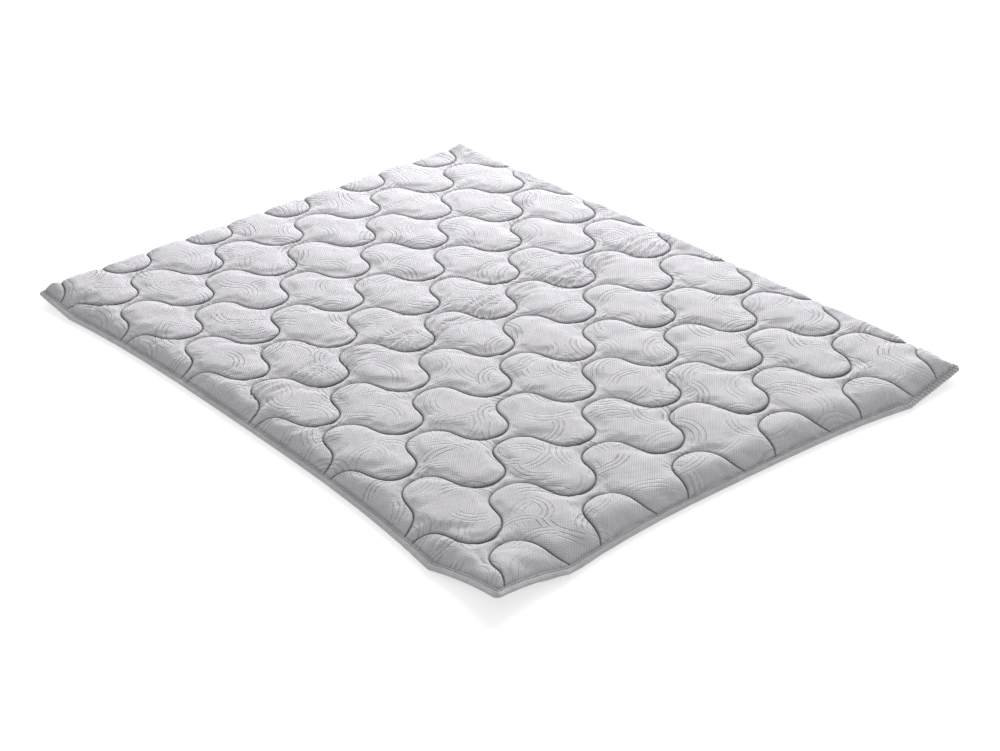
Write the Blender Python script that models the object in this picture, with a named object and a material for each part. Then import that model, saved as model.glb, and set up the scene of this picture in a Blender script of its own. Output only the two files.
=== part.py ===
"""Quilted memory foam mattress topper, 140 x 200 cm, lying flat with its corners a little lifted.

Metres, +Z up. X runs across the width, Y along the length. The origin is at the middle of the
underside, on the surface that the topper lies on.
From the bottom up: underside fabric, memory foam, fibre wadding, knitted cover, all sewn through
by rows of wavy quilting thread, bound round the edge with a folded tape, and fitted with one
elastic band under each corner.

The plan is worked out on a true rectangle (u, v). warp() then draws it to the real outline, whose
long sides pull in a little between the corners, and sets that outline's box square on the origin.
"""

import math

import bmesh
import bpy
from mathutils import Matrix, Vector

# ---------------------------------------------------------------- driving dimensions
HALF_W = 0.6950            # half width at mid-length, over the layers
HALF_L = 0.9865            # half length at mid-width, over the layers
CENTRE = (0.0203, 0.0218)  # the plan's own middle, from the middle of the outline's box

WAVE = 0.25807             # one full wave of a quilting row, along X
PITCH = 0.15651            # row to row, along Y
SWING = 0.06450            # half of a wave's height
SHARP = 0.36               # leans the flanks of each wave into an ogee
ROW_X0 = -0.57511          # a crest of every even row
ROW_Y0 = 0.65981           # middle of row 0
FIRST_ROW, LAST_ROW = -2, 10
PER_WAVE = 6               # grid stations in one wave

Z_SEAM = 0.0300            # cover's surface on a quilting row
PUFF = 0.0190              # how far a full pad stands above its rows
PUFF_WIDTH = 0.085         # gap between rows at which a pad is two thirds full

FABRIC = 0.0010            # underside fabric
KNIT = 0.0012              # knitted cover
GAP = 0.0003               # between touching layers
FOAM_TOP = 0.0225          # foam's surface, level under the pads

EDGE_RISE = 0.0051         # underside of the layers along the bound edge
EDGE_FOAM = 0.0120         # the same levels at the edge, pressed flat by the binding
EDGE_WAD = 0.0142
EDGE_TOP = 0.0157
RING_TAPE = 0.0125         # inner edge of the binding tape, from the layers' edge
RING_FULL = 0.0850         # from here inwards the pads are full

TAPE = 0.0008              # binding tape
TAPE_GAP = 0.0005
TAPE_NOSE = 0.0018         # outer face of the folded tape, outside the layers

# How far the rows are drawn out of true towards the front edge, and along the left edge
FRONT_PULL = (-0.0190, -0.0195)
LEFT_PULL_X = 0.0120
LEFT_PULL_Y = [(-0.99, 0.0), (-0.69, -0.0206), (-0.35, 0.0050), (-0.03, 0.0134), (0.28, 0.0134),
               (0.58, -0.0020), (0.99, -0.0020)]

STRAP_R = 0.190            # radius of an elastic band's middle line
STRAP_IN = 0.026           # band's middle line, in from the edge
STRAP_W = 0.025
STRAP_Z = (0.0002, 0.0014)
TAB_Z = (0.0017, 0.0029)
TACK_Z = (0.0003, 0.0014)
HINGE_Z = 0.00155
HINGE_CLEAR = 0.0014       # band starts this far from its fold line
TAB_LEN = 0.032

THREAD_R = 0.0005
THREAD_UP = 0.0012         # thread's middle above the seam level

# name: (sign x, sign y, side kink outwards, end kink outwards, tip outwards in x, in y, tip lift,
#        end kink's place in u, side kink's place in v, side's and end's hollow between kink and tip)
CORNERS = {
    "front_left": (-1, -1, 0.0400, 0.0385, 0.0280, 0.0430, 0.0300, 0.530, 0.800, 0.008, 0.011),
    "front_right": (1, -1, -0.0050, 0.0290, -0.0220, -0.0040, 0.0140, 0.475, 0.800, 0.000, 0.000),
    "back_left": (-1, 1, 0.0290, -0.0050, 0.0270, -0.0180, 0.0140, 0.500, 0.800, 0.000, 0.000),
    "back_right": (1, 1, -0.0050, -0.0050, -0.0240, -0.0220, 0.0180, 0.500, 0.800, 0.000, 0.000),
}
LIFT_SPAN = 0.24           # corner's two distances from its sides add up to this where lifting begins
LIFT_POWER = 1.3


# ---------------------------------------------------------------- shape rules
def edge_distance(u, v):
    return min(HALF_W - abs(u), HALF_L - abs(v))


def ramp(d, low, high):
    """Level that rises from the bound edge to the full pads."""
    if d <= RING_TAPE:
        return low
    if d >= RING_FULL:
        return high
    return low + (high - low) * (d - RING_TAPE) / (RING_FULL - RING_TAPE)


def underside_rise(d):
    """The bound edge is held a little above the floor by the tape and the band ends under it."""
    return ramp(d, EDGE_RISE, 0.0)


def corner_lift(u, v):
    z = 0.0
    for sx, sy, _, _, _, _, lift, *_ in CORNERS.values():
        s = 1.0 - ((HALF_W - sx * u) + (HALF_L - sy * v)) / LIFT_SPAN
        if s > 0:
            z += lift * s ** LIFT_POWER
    return z


def corner_values(u, v):
    return CORNERS[("front_" if v < 0 else "back_") + ("left" if u < 0 else "right")]


def side_bow(s, at, end, kink, tip, hollow):
    """Outward shift of a side at s from its middle: none there, most at the band, then out to the tip."""
    if s <= at:
        return kink * (s / at) ** 3
    t = min(1.0, (s - at) / (end - at))
    return kink + (tip - kink) * t ** 0.8 - hollow * 4 * t * (1 - t)


def warp(u, v):
    c = corner_values(u, v)
    sx = 1 if u >= 0 else -1
    sy = 1 if v >= 0 else -1
    ex = side_bow(abs(v), c[8], HALF_L, c[2], c[4], c[9])
    ey = side_bow(abs(u), c[7], HALF_W, c[3], c[5], c[10])
    return (
        u + sx * ex * (abs(u) / HALF_W) ** 6 + CENTRE[0],
        v + sy * ey * (abs(v) / HALF_L) ** 6 + CENTRE[1],
    )


def z_under(u, v):
    return underside_rise(edge_distance(u, v)) + corner_lift(u, v)


def z_foam_top(u, v):
    return ramp(edge_distance(u, v), EDGE_FOAM, FOAM_TOP) + corner_lift(u, v)


def z_wadding_top(u, v, puff):
    d = edge_distance(u, v)
    return ramp(d, EDGE_WAD, Z_SEAM - KNIT - GAP) + puff * ramp(d, 0, 1) + corner_lift(u, v)


def z_top(u, v, puff):
    d = edge_distance(u, v)
    return ramp(d, EDGE_TOP, Z_SEAM) + puff * ramp(d, 0, 1) + corner_lift(u, v)


def station(k):
    """X of grid column k and the wave's phase there."""
    phase = 2 * math.pi * k / PER_WAVE
    return ROW_X0 + WAVE / (2 * math.pi) * (phase + SHARP * math.sin(2 * phase)), phase


def row_y(j, phase):
    """Y of quilting row j. Neighbouring rows swing opposite ways and nearly touch."""
    return ROW_Y0 - j * PITCH + SWING * math.cos(phase) * (1 if j % 2 == 0 else -1)


def settle(x, y):
    """How far the pattern has shifted as the topper lies."""
    x, y = max(-0.62, min(0.62, x)), max(-0.88, min(0.88, y))
    return (-0.00328 - 0.01107 * x + 0.00625 * y - 0.00298 * x * y - 0.02111 * y * y - 0.02314 * y ** 3,
            -0.00675 - 0.00230 * x - 0.00598 * y - 0.00382 * x * x - 0.01495 * y * y - 0.01196 * y ** 3)


def drawn_out(x, y):
    """A point of the true pattern, moved to where the edges draw it."""
    front = 1.1 * (1 - math.exp(-max(0.215 - (y + HALF_L), 0.0) / 0.10))
    left = 1.1 * (1 - math.exp(-max(0.150 - (x + HALF_W), 0.0) / 0.07))
    slide = LEFT_PULL_Y[0][1] if y < LEFT_PULL_Y[0][0] else LEFT_PULL_Y[-1][1]
    for (y0, s0), (y1, s1) in zip(LEFT_PULL_Y, LEFT_PULL_Y[1:]):
        if y0 <= y <= y1:
            slide = s0 + (s1 - s0) * (y - y0) / (y1 - y0)
    shift = settle(x, y)
    return x + FRONT_PULL[0] * front + LEFT_PULL_X * left + shift[0], y + FRONT_PULL[1] * front + slide * left + shift[1]


# ---------------------------------------------------------------- scene set-up
for old in list(bpy.data.objects):
    bpy.data.objects.remove(old, do_unlink=True)

topper = bpy.data.collections.new("mattress_topper")
bpy.context.scene.collection.children.link(topper)


def material(name, colour, roughness):
    m = bpy.data.materials.new(name)
    m.use_nodes = True
    shader = m.node_tree.nodes["Principled BSDF"]
    shader.inputs["Base Color"].default_value = (*colour, 1.0)
    shader.inputs["Roughness"].default_value = roughness
    shader.inputs["Metallic"].default_value = 0.0
    m.diffuse_color = (*colour, 1.0)
    return m


def add_mesh(name, bm, mat):
    mesh = bpy.data.meshes.new(name)
    bm.to_mesh(mesh)
    bm.free()
    ob = bpy.data.objects.new(name, mesh)
    ob.data.materials.append(mat)
    topper.objects.link(ob)
    return ob


# ---------------------------------------------------------------- plan of the quilting
# One grid whose lines follow the quilting rows. Height above the rows is kept in z while it is cut.
first_k = math.floor((-HALF_W - 0.10 - ROW_X0) / WAVE * PER_WAVE)
last_k = math.ceil((HALF_W + 0.10 - ROW_X0) / WAVE * PER_WAVE)
columns = list(range(first_k, last_k + 1))
bands = list(range(FIRST_ROW - 1, LAST_ROW + 3))   # rows, and a mid line after each
lines = 2 * len(bands) - 1

plan = bmesh.new()
bmesh.ops.create_grid(plan, x_segments=len(columns) - 1, y_segments=lines - 1, size=1.0)
plan.verts.ensure_lookup_table()
line_of = {}
for vert in plan.verts:
    i = round((vert.co.x + 1) / 2 * (len(columns) - 1))
    r = round((1 - vert.co.y) / 2 * (lines - 1))
    x, phase = station(columns[i])
    j = bands[r // 2]
    y = row_y(j, phase)
    puff = 0.0
    if r % 2:
        y_next = row_y(j + 1, phase)
        puff = PUFF * (1 - math.exp(-((y - y_next) / PUFF_WIDTH) ** 1.3))
        y = (y + y_next) / 2
    vert.co = (*drawn_out(x, y), puff)
    line_of[vert.index] = r

row_of = plan.edges.layers.int.new("row")   # 1 + index of the band list, on a quilting row's edges
for edge in plan.edges:
    a, b = edge.verts
    if line_of[a.index] == line_of[b.index] and line_of[a.index] % 2 == 0:
        edge[row_of] = line_of[a.index] // 2 + 1


def cut(co, no, clear=False, near=lambda face: True):
    faces = [f for f in plan.faces if near(f)]
    edges = {e for f in faces for e in f.edges}
    verts = {w for f in faces for w in f.verts}
    bmesh.ops.bisect_plane(
        plan, geom=list(verts) + list(edges) + faces,
        dist=1e-5, plane_co=co, plane_no=no, clear_outer=clear,
    )


for inset, clear in ((0.0, True), (RING_TAPE, False), (RING_FULL, False)):
    for sign in (-1, 1):
        cut((sign * (HALF_W - inset), 0, 0), (sign, 0, 0), clear)
        cut((0, sign * (HALF_L - inset), 0), (0, sign, 0), clear)
# the edge bends where the lift begins, at each kink and between it and the tip: the rim gets a line there
for sx, sy, *_, at_u, at_v, _, _ in CORNERS.values():
    for from_tip in (LIFT_SPAN, 0.215, 0.120, 0.080, 0.040, None):
        u = sx * (at_u if from_tip is None else HALF_W - from_tip)
        v = sy * (at_v if from_tip is None else HALF_L - from_tip)
        cut((u, 0, 0), (1, 0, 0), near=lambda f: f.calc_center_median().y * sy > HALF_L - RING_TAPE)
        cut((0, v, 0), (0, 1, 0), near=lambda f: f.calc_center_median().x * sx > HALF_W - RING_TAPE)
bmesh.ops.remove_doubles(plan, verts=plan.verts[:], dist=1e-5)
bmesh.ops.triangulate(plan, faces=plan.faces[:])


def layer(name, bottom, top, mat, flat=False):
    """A closed sheet between two height rules, over the whole plan."""
    bm = plan.copy()
    bmesh.ops.recalc_face_normals(bm, faces=bm.faces[:])
    lower = bm.verts[:]
    grown = bmesh.ops.extrude_face_region(bm, geom=bm.faces[:], use_keep_orig=True)
    upper = [g for g in grown["geom"] if isinstance(g, bmesh.types.BMVert)]
    for group, rule in ((lower, bottom), (upper, top)):
        for vert in group:
            u, v, puff = vert.co
            x, y = warp(u, v)
            vert.co = (x, y, rule(u, v, puff))
    bmesh.ops.recalc_face_normals(bm, faces=bm.faces[:])
    if flat:
        bmesh.ops.dissolve_limit(bm, angle_limit=math.radians(0.1), use_dissolve_boundaries=False,
                                 verts=bm.verts[:], edges=bm.edges[:])
        bmesh.ops.triangulate(bm, faces=bm.faces[:], ngon_method="BEAUTY")
    return add_mesh(name, bm, mat)


knit = material("knit_cover", (0.80, 0.80, 0.83), 0.85)
wad = material("fibre_wadding", (0.92, 0.92, 0.92), 0.95)
foam = material("memory_foam", (0.90, 0.88, 0.78), 0.80)
backing = material("underside_fabric", (0.74, 0.74, 0.77), 0.90)
tape_mat = material("binding_tape", (0.62, 0.64, 0.64), 0.80)
thread_mat = material("thread", (0.70, 0.70, 0.73), 0.60)
elastic = material("elastic", (0.85, 0.85, 0.86), 0.75)

layer("underside_fabric", lambda u, v, p: z_under(u, v), lambda u, v, p: z_under(u, v) + FABRIC,
      backing, flat=True)
layer("memory_foam_core", lambda u, v, p: z_under(u, v) + FABRIC + GAP,
      lambda u, v, p: z_foam_top(u, v), foam, flat=True)
layer("fibre_wadding", lambda u, v, p: z_foam_top(u, v) + GAP, z_wadding_top, wad, flat=True)
layer("knitted_top_cover", lambda u, v, p: z_wadding_top(u, v, p) + GAP, z_top, knit)

# ---------------------------------------------------------------- edge binding
# Stations on the layers' edge, in order, starting at the front left corner.
rim = {"front": [], "right": [], "back": [], "left": []}
for vert in plan.verts:
    u, v, _ = vert.co
    if abs(v + HALF_L) < 1e-5:
        rim["front"].append((u, -HALF_L))
    elif abs(v - HALF_L) < 1e-5:
        rim["back"].append((u, HALF_L))
    elif abs(u - HALF_W) < 1e-5:
        rim["right"].append((HALF_W, v))
    elif abs(u + HALF_W) < 1e-5:
        rim["left"].append((-HALF_W, v))
loop = (sorted(rim["front"]) + sorted(rim["right"], key=lambda p: p[1])
        + sorted(rim["back"], reverse=True) + sorted(rim["left"], key=lambda p: -p[1]))


def outwards(u, v):
    return (math.copysign(1, u) if HALF_W - abs(u) < 1e-5 else 0,
            math.copysign(1, v) if HALF_L - abs(v) < 1e-5 else 0)


def rim_point(u, v, out, z):
    nx, ny = outwards(u, v)
    uu, vv = u + nx * out, v + ny * out
    x, y = warp(uu, vv)
    return x, y, z + corner_lift(uu, vv)


tape_low = EDGE_RISE - TAPE_GAP - TAPE
tape_high = EDGE_TOP + TAPE_GAP + TAPE
tape_profile = [
    (-RING_TAPE + 0.0005, tape_high - TAPE),
    (-RING_TAPE + 0.0005, tape_high),
    (0.0004, tape_high),
    (TAPE_NOSE, tape_high - 0.0026),
    (TAPE_NOSE, tape_low + 0.0026),
    (0.0004, tape_low),
    (-RING_TAPE + 0.0005, tape_low),
    (-RING_TAPE + 0.0005, tape_low + TAPE),
    (0.0005, tape_low + TAPE),
    (0.0005, tape_high - TAPE),
]
bm = bmesh.new()
rings = [[bm.verts.new(rim_point(u, v, out, z)) for out, z in tape_profile] for u, v in loop]
for n, ring in enumerate(rings):
    after = rings[(n + 1) % len(rings)]
    for m in range(len(ring)):
        q = (m + 1) % len(ring)
        bm.faces.new((ring[m], after[m], after[q], ring[q]))
bmesh.ops.recalc_face_normals(bm, faces=bm.faces[:])
bmesh.ops.dissolve_limit(bm, angle_limit=math.radians(0.25), use_dissolve_boundaries=False,
                         verts=bm.verts[:], edges=bm.edges[:])
bmesh.ops.triangulate(bm, faces=bm.faces[:])
add_mesh("edge_binding", bm, tape_mat)


# ---------------------------------------------------------------- threads
def tube(name, points, radius, mat, closed=False):
    curve = bpy.data.curves.new(name, "CURVE")
    curve.dimensions = "3D"
    curve.bevel_depth = radius
    curve.bevel_resolution = 0
    curve.use_fill_caps = True
    spline = curve.splines.new("POLY")
    spline.points.add(len(points) - 1)
    for point, co in zip(spline.points, points):
        point.co = (*co, 1.0)
    spline.use_cyclic_u = closed
    curve.materials.append(mat)
    ob = bpy.data.objects.new(name, curve)
    topper.objects.link(ob)
    return ob


stitch_in = 0.0085
tube("binding_stitch_line",
     [rim_point(u, v, -stitch_in, tape_high + 0.0006 + THREAD_R) for u, v in loop[::2]],
     0.0004, thread_mat, closed=True)

END_CLEAR = RING_TAPE + 0.0025
u_end, v_end = HALF_W - END_CLEAR, HALF_L - END_CLEAR
for n, j in enumerate(bands):
    ends = set()
    for edge in plan.edges:
        if edge[row_of] == n + 1:
            for vert in edge.verts:
                ends.add((round(vert.co.x, 7), round(vert.co.y, 7)))
    pts = sorted(ends)
    runs, run = [], []
    for a, b in zip(pts, pts[1:]):
        # clip the step a-b to the inside of the tape
        t0, t1 = 0.0, 1.0
        for p, q, lim in ((a[0], b[0], u_end), (a[1], b[1], v_end)):
            for sign in (-1, 1):
                fa, fb = lim - sign * p, lim - sign * q
                if fa < 0 and fb < 0:
                    t0, t1 = 1.0, 0.0
                elif fa < 0:
                    t0 = max(t0, fa / (fa - fb))
                elif fb < 0:
                    t1 = min(t1, fa / (fa - fb))
        if t0 >= t1:
            if run:
                runs.append(run)
                run = []
            continue
        pa = (a[0] + (b[0] - a[0]) * t0, a[1] + (b[1] - a[1]) * t0)
        pb = (a[0] + (b[0] - a[0]) * t1, a[1] + (b[1] - a[1]) * t1)
        if not run:
            run = [pa]
        run.append(pb)
        if t1 < 1.0:
            runs.append(run)
            run = []
    if run:
        runs.append(run)
    runs = [r for r in runs if r[-1][0] - r[0][0] > 0.06]
    for m, r in enumerate(runs):
        name = f"quilting_thread_{j - FIRST_ROW + 1:02d}" if len(runs) == 1 else f"quilting_thread_{j - FIRST_ROW + 1:02d}_part_{m + 1}"
        path = []
        for u, v in r:
            x, y = warp(u, v)
            path.append((x, y, z_top(u, v, 0.0) + THREAD_UP))
        tube(name, path, THREAD_R, thread_mat)

plan.free()


# ---------------------------------------------------------------- elastic corner bands
def flat_shape(name, outline, z_low, z_high, matrix, mat):
    """A flat outline given as a filled 2D curve, from z_low to z_high in the frame of matrix."""
    curve = bpy.data.curves.new(name, "CURVE")
    curve.dimensions = "2D"
    curve.fill_mode = "BOTH"
    curve.extrude = (z_high - z_low) / 2
    spline = curve.splines.new("POLY")
    spline.points.add(len(outline) - 1)
    for point, (x, y) in zip(spline.points, outline):
        point.co = (x, y, 0.0, 1.0)
    spline.use_cyclic_u = True
    curve.materials.append(mat)
    ob = bpy.data.objects.new(name, curve)
    topper.objects.link(ob)
    ob.matrix_world = matrix @ Matrix.Translation((0, 0, (z_high + z_low) / 2))
    return ob


for corner, (sx, sy, kink_x, kink_y, *_) in CORNERS.items():
    # The band is a quarter ring, tangent to both sides, seen in a frame on its fold line.
    cx = sx * (HALF_W + kink_x - STRAP_IN - STRAP_R) + CENTRE[0]
    cy = sy * (HALF_L + kink_y - STRAP_IN - STRAP_R) + CENTRE[1]
    half = STRAP_R / math.sqrt(2)
    mid = Vector((cx + sx * STRAP_R / 2, cy + sy * STRAP_R / 2, 0))
    out = Vector((sx, sy, 0)).normalized()          # towards the corner's tip
    along = Vector((out.y, -out.x, 0))
    frame = Matrix((
        (along.x, out.x, 0, mid.x),
        (along.y, out.y, 0, mid.y),
        (0, 0, 1, 0),
        (0, 0, 0, 1),
    ))
    depth = half                                     # fold line's distance from the ring's centre

    def arc(radius, y_cut, steps, start_sign):
        a = math.acos(min(1.0, (depth + y_cut) / radius))
        return [(radius * math.sin(start_sign * a * (1 - 2 * i / steps)),
                 radius * math.cos(a * (1 - 2 * i / steps)) - depth) for i in range(steps + 1)]

    r_out, r_in = STRAP_R + STRAP_W / 2, STRAP_R - STRAP_W / 2
    # A frame that mirrors would turn the solid inside out, so "along" always makes it right-handed.
    band = arc(r_out, HINGE_CLEAR, 12, -1) + arc(r_in, HINGE_CLEAR, 12, 1)
    fold = bpy.data.objects.new("fold_line_" + corner, None)
    topper.objects.link(fold)
    fold.matrix_world = Matrix.Translation((0, 0, HINGE_Z)) @ frame
    ob = flat_shape("corner_band_" + corner, band, STRAP_Z[0], STRAP_Z[1], frame, elastic)
    world = ob.matrix_world.copy()
    bpy.context.view_layer.update()
    ob.parent = fold
    ob.matrix_parent_inverse = fold.matrix_world.inverted()
    ob.matrix_world = world

    for side, name in ((-1, "a"), (1, "b")):
        # The sewn end carries on along the ring, inwards of the fold line.
        a0 = math.acos((depth - 0.0004) / r_out)
        a1 = math.acos((depth - 0.0004) / r_in)
        turn = TAB_LEN / STRAP_R
        outer = [(side * r_out * math.sin(a0 + (math.pi / 4 + turn - a0) * i / 3),
                  r_out * math.cos(a0 + (math.pi / 4 + turn - a0) * i / 3) - depth) for i in range(4)]
        inner = [(side * r_in * math.sin(a1 + (math.pi / 4 + turn - a1) * i / 3),
                  r_in * math.cos(a1 + (math.pi / 4 + turn - a1) * i / 3) - depth) for i in range(4)]
        flat_shape(f"band_end_{corner}_{name}", outer + inner[::-1], TAB_Z[0], TAB_Z[1], frame, elastic)
        # Bar tack across the sewn end, under it.
        ta, tb = math.pi / 4 + turn * 0.55, math.pi / 4 + turn * 0.72
        tack = [(side * (r_out - 0.003) * math.sin(ta), (r_out - 0.003) * math.cos(ta) - depth),
                (side * (r_out - 0.003) * math.sin(tb), (r_out - 0.003) * math.cos(tb) - depth),
                (side * (r_in + 0.003) * math.sin(tb), (r_in + 0.003) * math.cos(tb) - depth),
                (side * (r_in + 0.003) * math.sin(ta), (r_in + 0.003) * math.cos(ta) - depth)]
        flat_shape(f"bar_tack_{corner}_{name}", tack, TACK_Z[0], TACK_Z[1], frame, thread_mat)
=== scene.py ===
import math

import bmesh
import bpy
import numpy as np
from mathutils import Matrix, Vector


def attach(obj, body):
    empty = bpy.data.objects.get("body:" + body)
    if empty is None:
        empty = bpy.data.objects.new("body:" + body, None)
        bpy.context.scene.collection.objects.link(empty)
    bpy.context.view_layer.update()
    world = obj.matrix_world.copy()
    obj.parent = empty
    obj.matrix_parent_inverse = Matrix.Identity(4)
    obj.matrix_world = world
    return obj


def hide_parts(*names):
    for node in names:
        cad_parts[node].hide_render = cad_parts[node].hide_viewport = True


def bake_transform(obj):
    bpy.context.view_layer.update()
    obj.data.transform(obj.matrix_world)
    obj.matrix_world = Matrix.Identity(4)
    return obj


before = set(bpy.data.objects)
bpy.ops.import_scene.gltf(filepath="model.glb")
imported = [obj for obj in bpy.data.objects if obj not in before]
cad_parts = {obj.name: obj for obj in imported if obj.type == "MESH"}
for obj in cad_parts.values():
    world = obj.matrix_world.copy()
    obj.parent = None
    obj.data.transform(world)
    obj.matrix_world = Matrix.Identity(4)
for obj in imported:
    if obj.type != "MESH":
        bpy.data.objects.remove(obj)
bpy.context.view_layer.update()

# ============================================================ the construction's own sizes
HALF_W, HALF_L = 0.6950, 0.9865
CENTRE = (0.0203, 0.0218)
WAVE, PITCH, SWING, SHARP = 0.25807, 0.15651, 0.06450, 0.36
ROW_X0, ROW_Y0 = -0.57511, 0.65981
FIRST_ROW, LAST_ROW = -2, 10
EDGE_RISE, EDGE_FOAM, EDGE_TOP = 0.0051, 0.0120, 0.0157
FOAM_TOP, FABRIC = 0.0225, 0.0010
RING_TAPE, RING_FULL = 0.0125, 0.0850
FRONT_PULL = (-0.0190, -0.0195)
LEFT_PULL_X = 0.0120
LEFT_PULL_Y = [(-0.99, 0.0), (-0.69, -0.0206), (-0.35, 0.0050), (-0.03, 0.0134), (0.28, 0.0134),
               (0.58, -0.0020), (0.99, -0.0020)]
STRAP_R, STRAP_IN, STRAP_W = 0.190, 0.026, 0.025
CORNERS = {
    "front_left": (-1, -1, 0.0400, 0.0385, 0.0280, 0.0430, 0.0300, 0.530, 0.800, 0.008, 0.011),
    "front_right": (1, -1, -0.0050, 0.0290, -0.0220, -0.0040, 0.0140, 0.475, 0.800, 0.000, 0.000),
    "back_left": (-1, 1, 0.0290, -0.0050, 0.0270, -0.0180, 0.0140, 0.500, 0.800, 0.000, 0.000),
    "back_right": (1, 1, -0.0050, -0.0050, -0.0240, -0.0220, 0.0180, 0.500, 0.800, 0.000, 0.000),
}
LIFT_SPAN, LIFT_POWER = 0.20, 1.2      # lifted tips, a little shorter than the construction's

# the looks
PER_WAVE = 80              # stations along one wave of a row
PER_BAND = 60              # lines from one row to the next
SEAM = 0.0305              # cover's surface in the bottom of a row
PAD = 0.0128               # full pad, above its rows
CORNER_R = 0.013
TAPE_LOW, TAPE_HIGH, TAPE_SLOPE = 0.0040, 0.0148, 0.0044     # binding's faces, and how far it slopes down outwards
TAPE_IN, TAPE_SEWN = 0.0105, 0.0077      # its inner edge and its stitching, from the layers' edge
UNDER_EDGE, FOAM_EDGE, SKIN_EDGE = 0.0053, 0.0106, 0.0129    # the layers inside the binding
TWO_PI = 2 * math.pi


# ============================================================ noise and small helpers
def value_noise(x, y, cell, seed):
    """Smooth noise from -1 to 1, one feature per cell."""
    table = np.random.RandomState(seed).uniform(-1, 1, (64, 64))
    x, y = np.asarray(x) / cell + 31.7, np.asarray(y) / cell + 17.3
    ix, iy = np.floor(x).astype(int), np.floor(y).astype(int)
    fx, fy = x - ix, y - iy
    fx, fy = fx ** 3 * (fx * (fx * 6 - 15) + 10), fy ** 3 * (fy * (fy * 6 - 15) + 10)
    a, b = table[ix % 64, iy % 64], table[(ix + 1) % 64, iy % 64]
    c, d = table[ix % 64, (iy + 1) % 64], table[(ix + 1) % 64, (iy + 1) % 64]
    return (a * (1 - fx) + b * fx) * (1 - fy) + (c * (1 - fx) + d * fx) * fy


def smooth(t):
    t = np.clip(t, 0, 1)
    return t * t * (3 - 2 * t)


# ============================================================ outline rules
def corner_pick(u, v, column):
    """One of the corner values for each point, by the quarter it is in."""
    values = {(c[0], c[1]): c[column] for c in CORNERS.values()}
    su, sv = np.where(u < 0, -1, 1), np.where(v < 0, -1, 1)
    out = np.zeros(np.broadcast(u, v).shape)
    for (a, b), value in values.items():
        out = np.where((su == a) & (sv == b), value, out)
    return out


def side_bow(s, at, end, kink, tip, hollow):
    """Outward shift of a side: none at its middle, most at the band, then out to the tip."""
    near = kink * (np.minimum(s, at + 0.006) / at) ** 3
    t = np.clip((s - at) / (end - at), 0, 1)
    far = kink + (tip - kink) * t ** 0.8 - hollow * 4 * t * (1 - t)
    w = smooth((s - at + 0.006) / 0.012)        # the kink is a centimetre of fabric, not a crease
    return near * (1 - w) + far * w


def round_tips(u, v):
    """Rounds the four tips of the plan."""
    pu, pv = np.abs(u) - (HALF_W - CORNER_R), np.abs(v) - (HALF_L - CORNER_R)
    inside = (pu > 0) & (pv > 0)
    length = np.hypot(pu, pv) + 1e-12
    scale = np.where(inside, np.maximum(pu, pv) / length, 1.0)
    uu = np.where(inside, np.sign(u) * (HALF_W - CORNER_R + pu * scale), u)
    vv = np.where(inside, np.sign(v) * (HALF_L - CORNER_R + pv * scale), v)
    return uu, vv


def bow_only(u, v):
    """Plan rectangle to the real outline, tips left as they are."""
    ex = side_bow(np.abs(v), corner_pick(u, v, 8), HALF_L, corner_pick(u, v, 2), corner_pick(u, v, 4), corner_pick(u, v, 9))
    ey = side_bow(np.abs(u), corner_pick(u, v, 7), HALF_W, corner_pick(u, v, 3), corner_pick(u, v, 5), corner_pick(u, v, 10))
    return (u + np.where(u < 0, -1, 1) * ex * (np.abs(u) / HALF_W) ** 6 + CENTRE[0],
            v + np.where(v < 0, -1, 1) * ey * (np.abs(v) / HALF_L) ** 6 + CENTRE[1])


def warp(u, v):
    u, v = round_tips(np.asarray(u, float), np.asarray(v, float))
    return bow_only(u, v)


def corner_lift(u, v):
    z = np.zeros(np.broadcast(u, v).shape)
    for c in CORNERS.values():
        s = 1 - ((HALF_W - c[0] * u) + (HALF_L - c[1] * v)) / LIFT_SPAN
        z = z + c[6] * np.clip(s, 0, None) ** LIFT_POWER
    return z


def edge_distance(u, v):
    return np.minimum(HALF_W - np.abs(u), HALF_L - np.abs(v))


def ramp(d, low, high):
    return low + (high - low) * np.clip((d - RING_TAPE) / (RING_FULL - RING_TAPE), 0, 1)


# ============================================================ quilting rows
def row_x(phase):
    return ROW_X0 + WAVE / TWO_PI * (phase + SHARP * np.sin(2 * phase))


phase_table = np.linspace(-32, 32, 64001)
x_table = row_x(phase_table)


def row_phase(x):
    return np.interp(x, x_table, phase_table)


def row_y(j, phase):
    return ROW_Y0 - j * PITCH + SWING * np.cos(phase) * np.where(np.asarray(j) % 2 == 0, 1, -1)


def settle(x, y):
    """How far the pattern has shifted as the topper lies."""
    x, y = np.clip(x, -0.62, 0.62), np.clip(y, -0.88, 0.88)
    return (-0.00328 - 0.01107 * x + 0.00625 * y - 0.00298 * x * y - 0.02111 * y * y - 0.02314 * y ** 3,
            -0.00675 - 0.00230 * x - 0.00598 * y - 0.00382 * x * x - 0.01495 * y * y - 0.01196 * y ** 3)


def drawn_out(x, y):
    """A point of the true pattern, moved to where the edges draw it."""
    front = 1.1 * (1 - np.exp(-np.clip(0.215 - (y + HALF_L), 0, None) / 0.10))
    left = 1.1 * (1 - np.exp(-np.clip(0.150 - (x + HALF_W), 0, None) / 0.07))
    slide = np.interp(y, [p[0] for p in LEFT_PULL_Y], [p[1] for p in LEFT_PULL_Y])
    shift = settle(x, y)
    return x + FRONT_PULL[0] * front + LEFT_PULL_X * left + shift[0], y + FRONT_PULL[1] * front + slide * left + shift[1]


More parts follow.
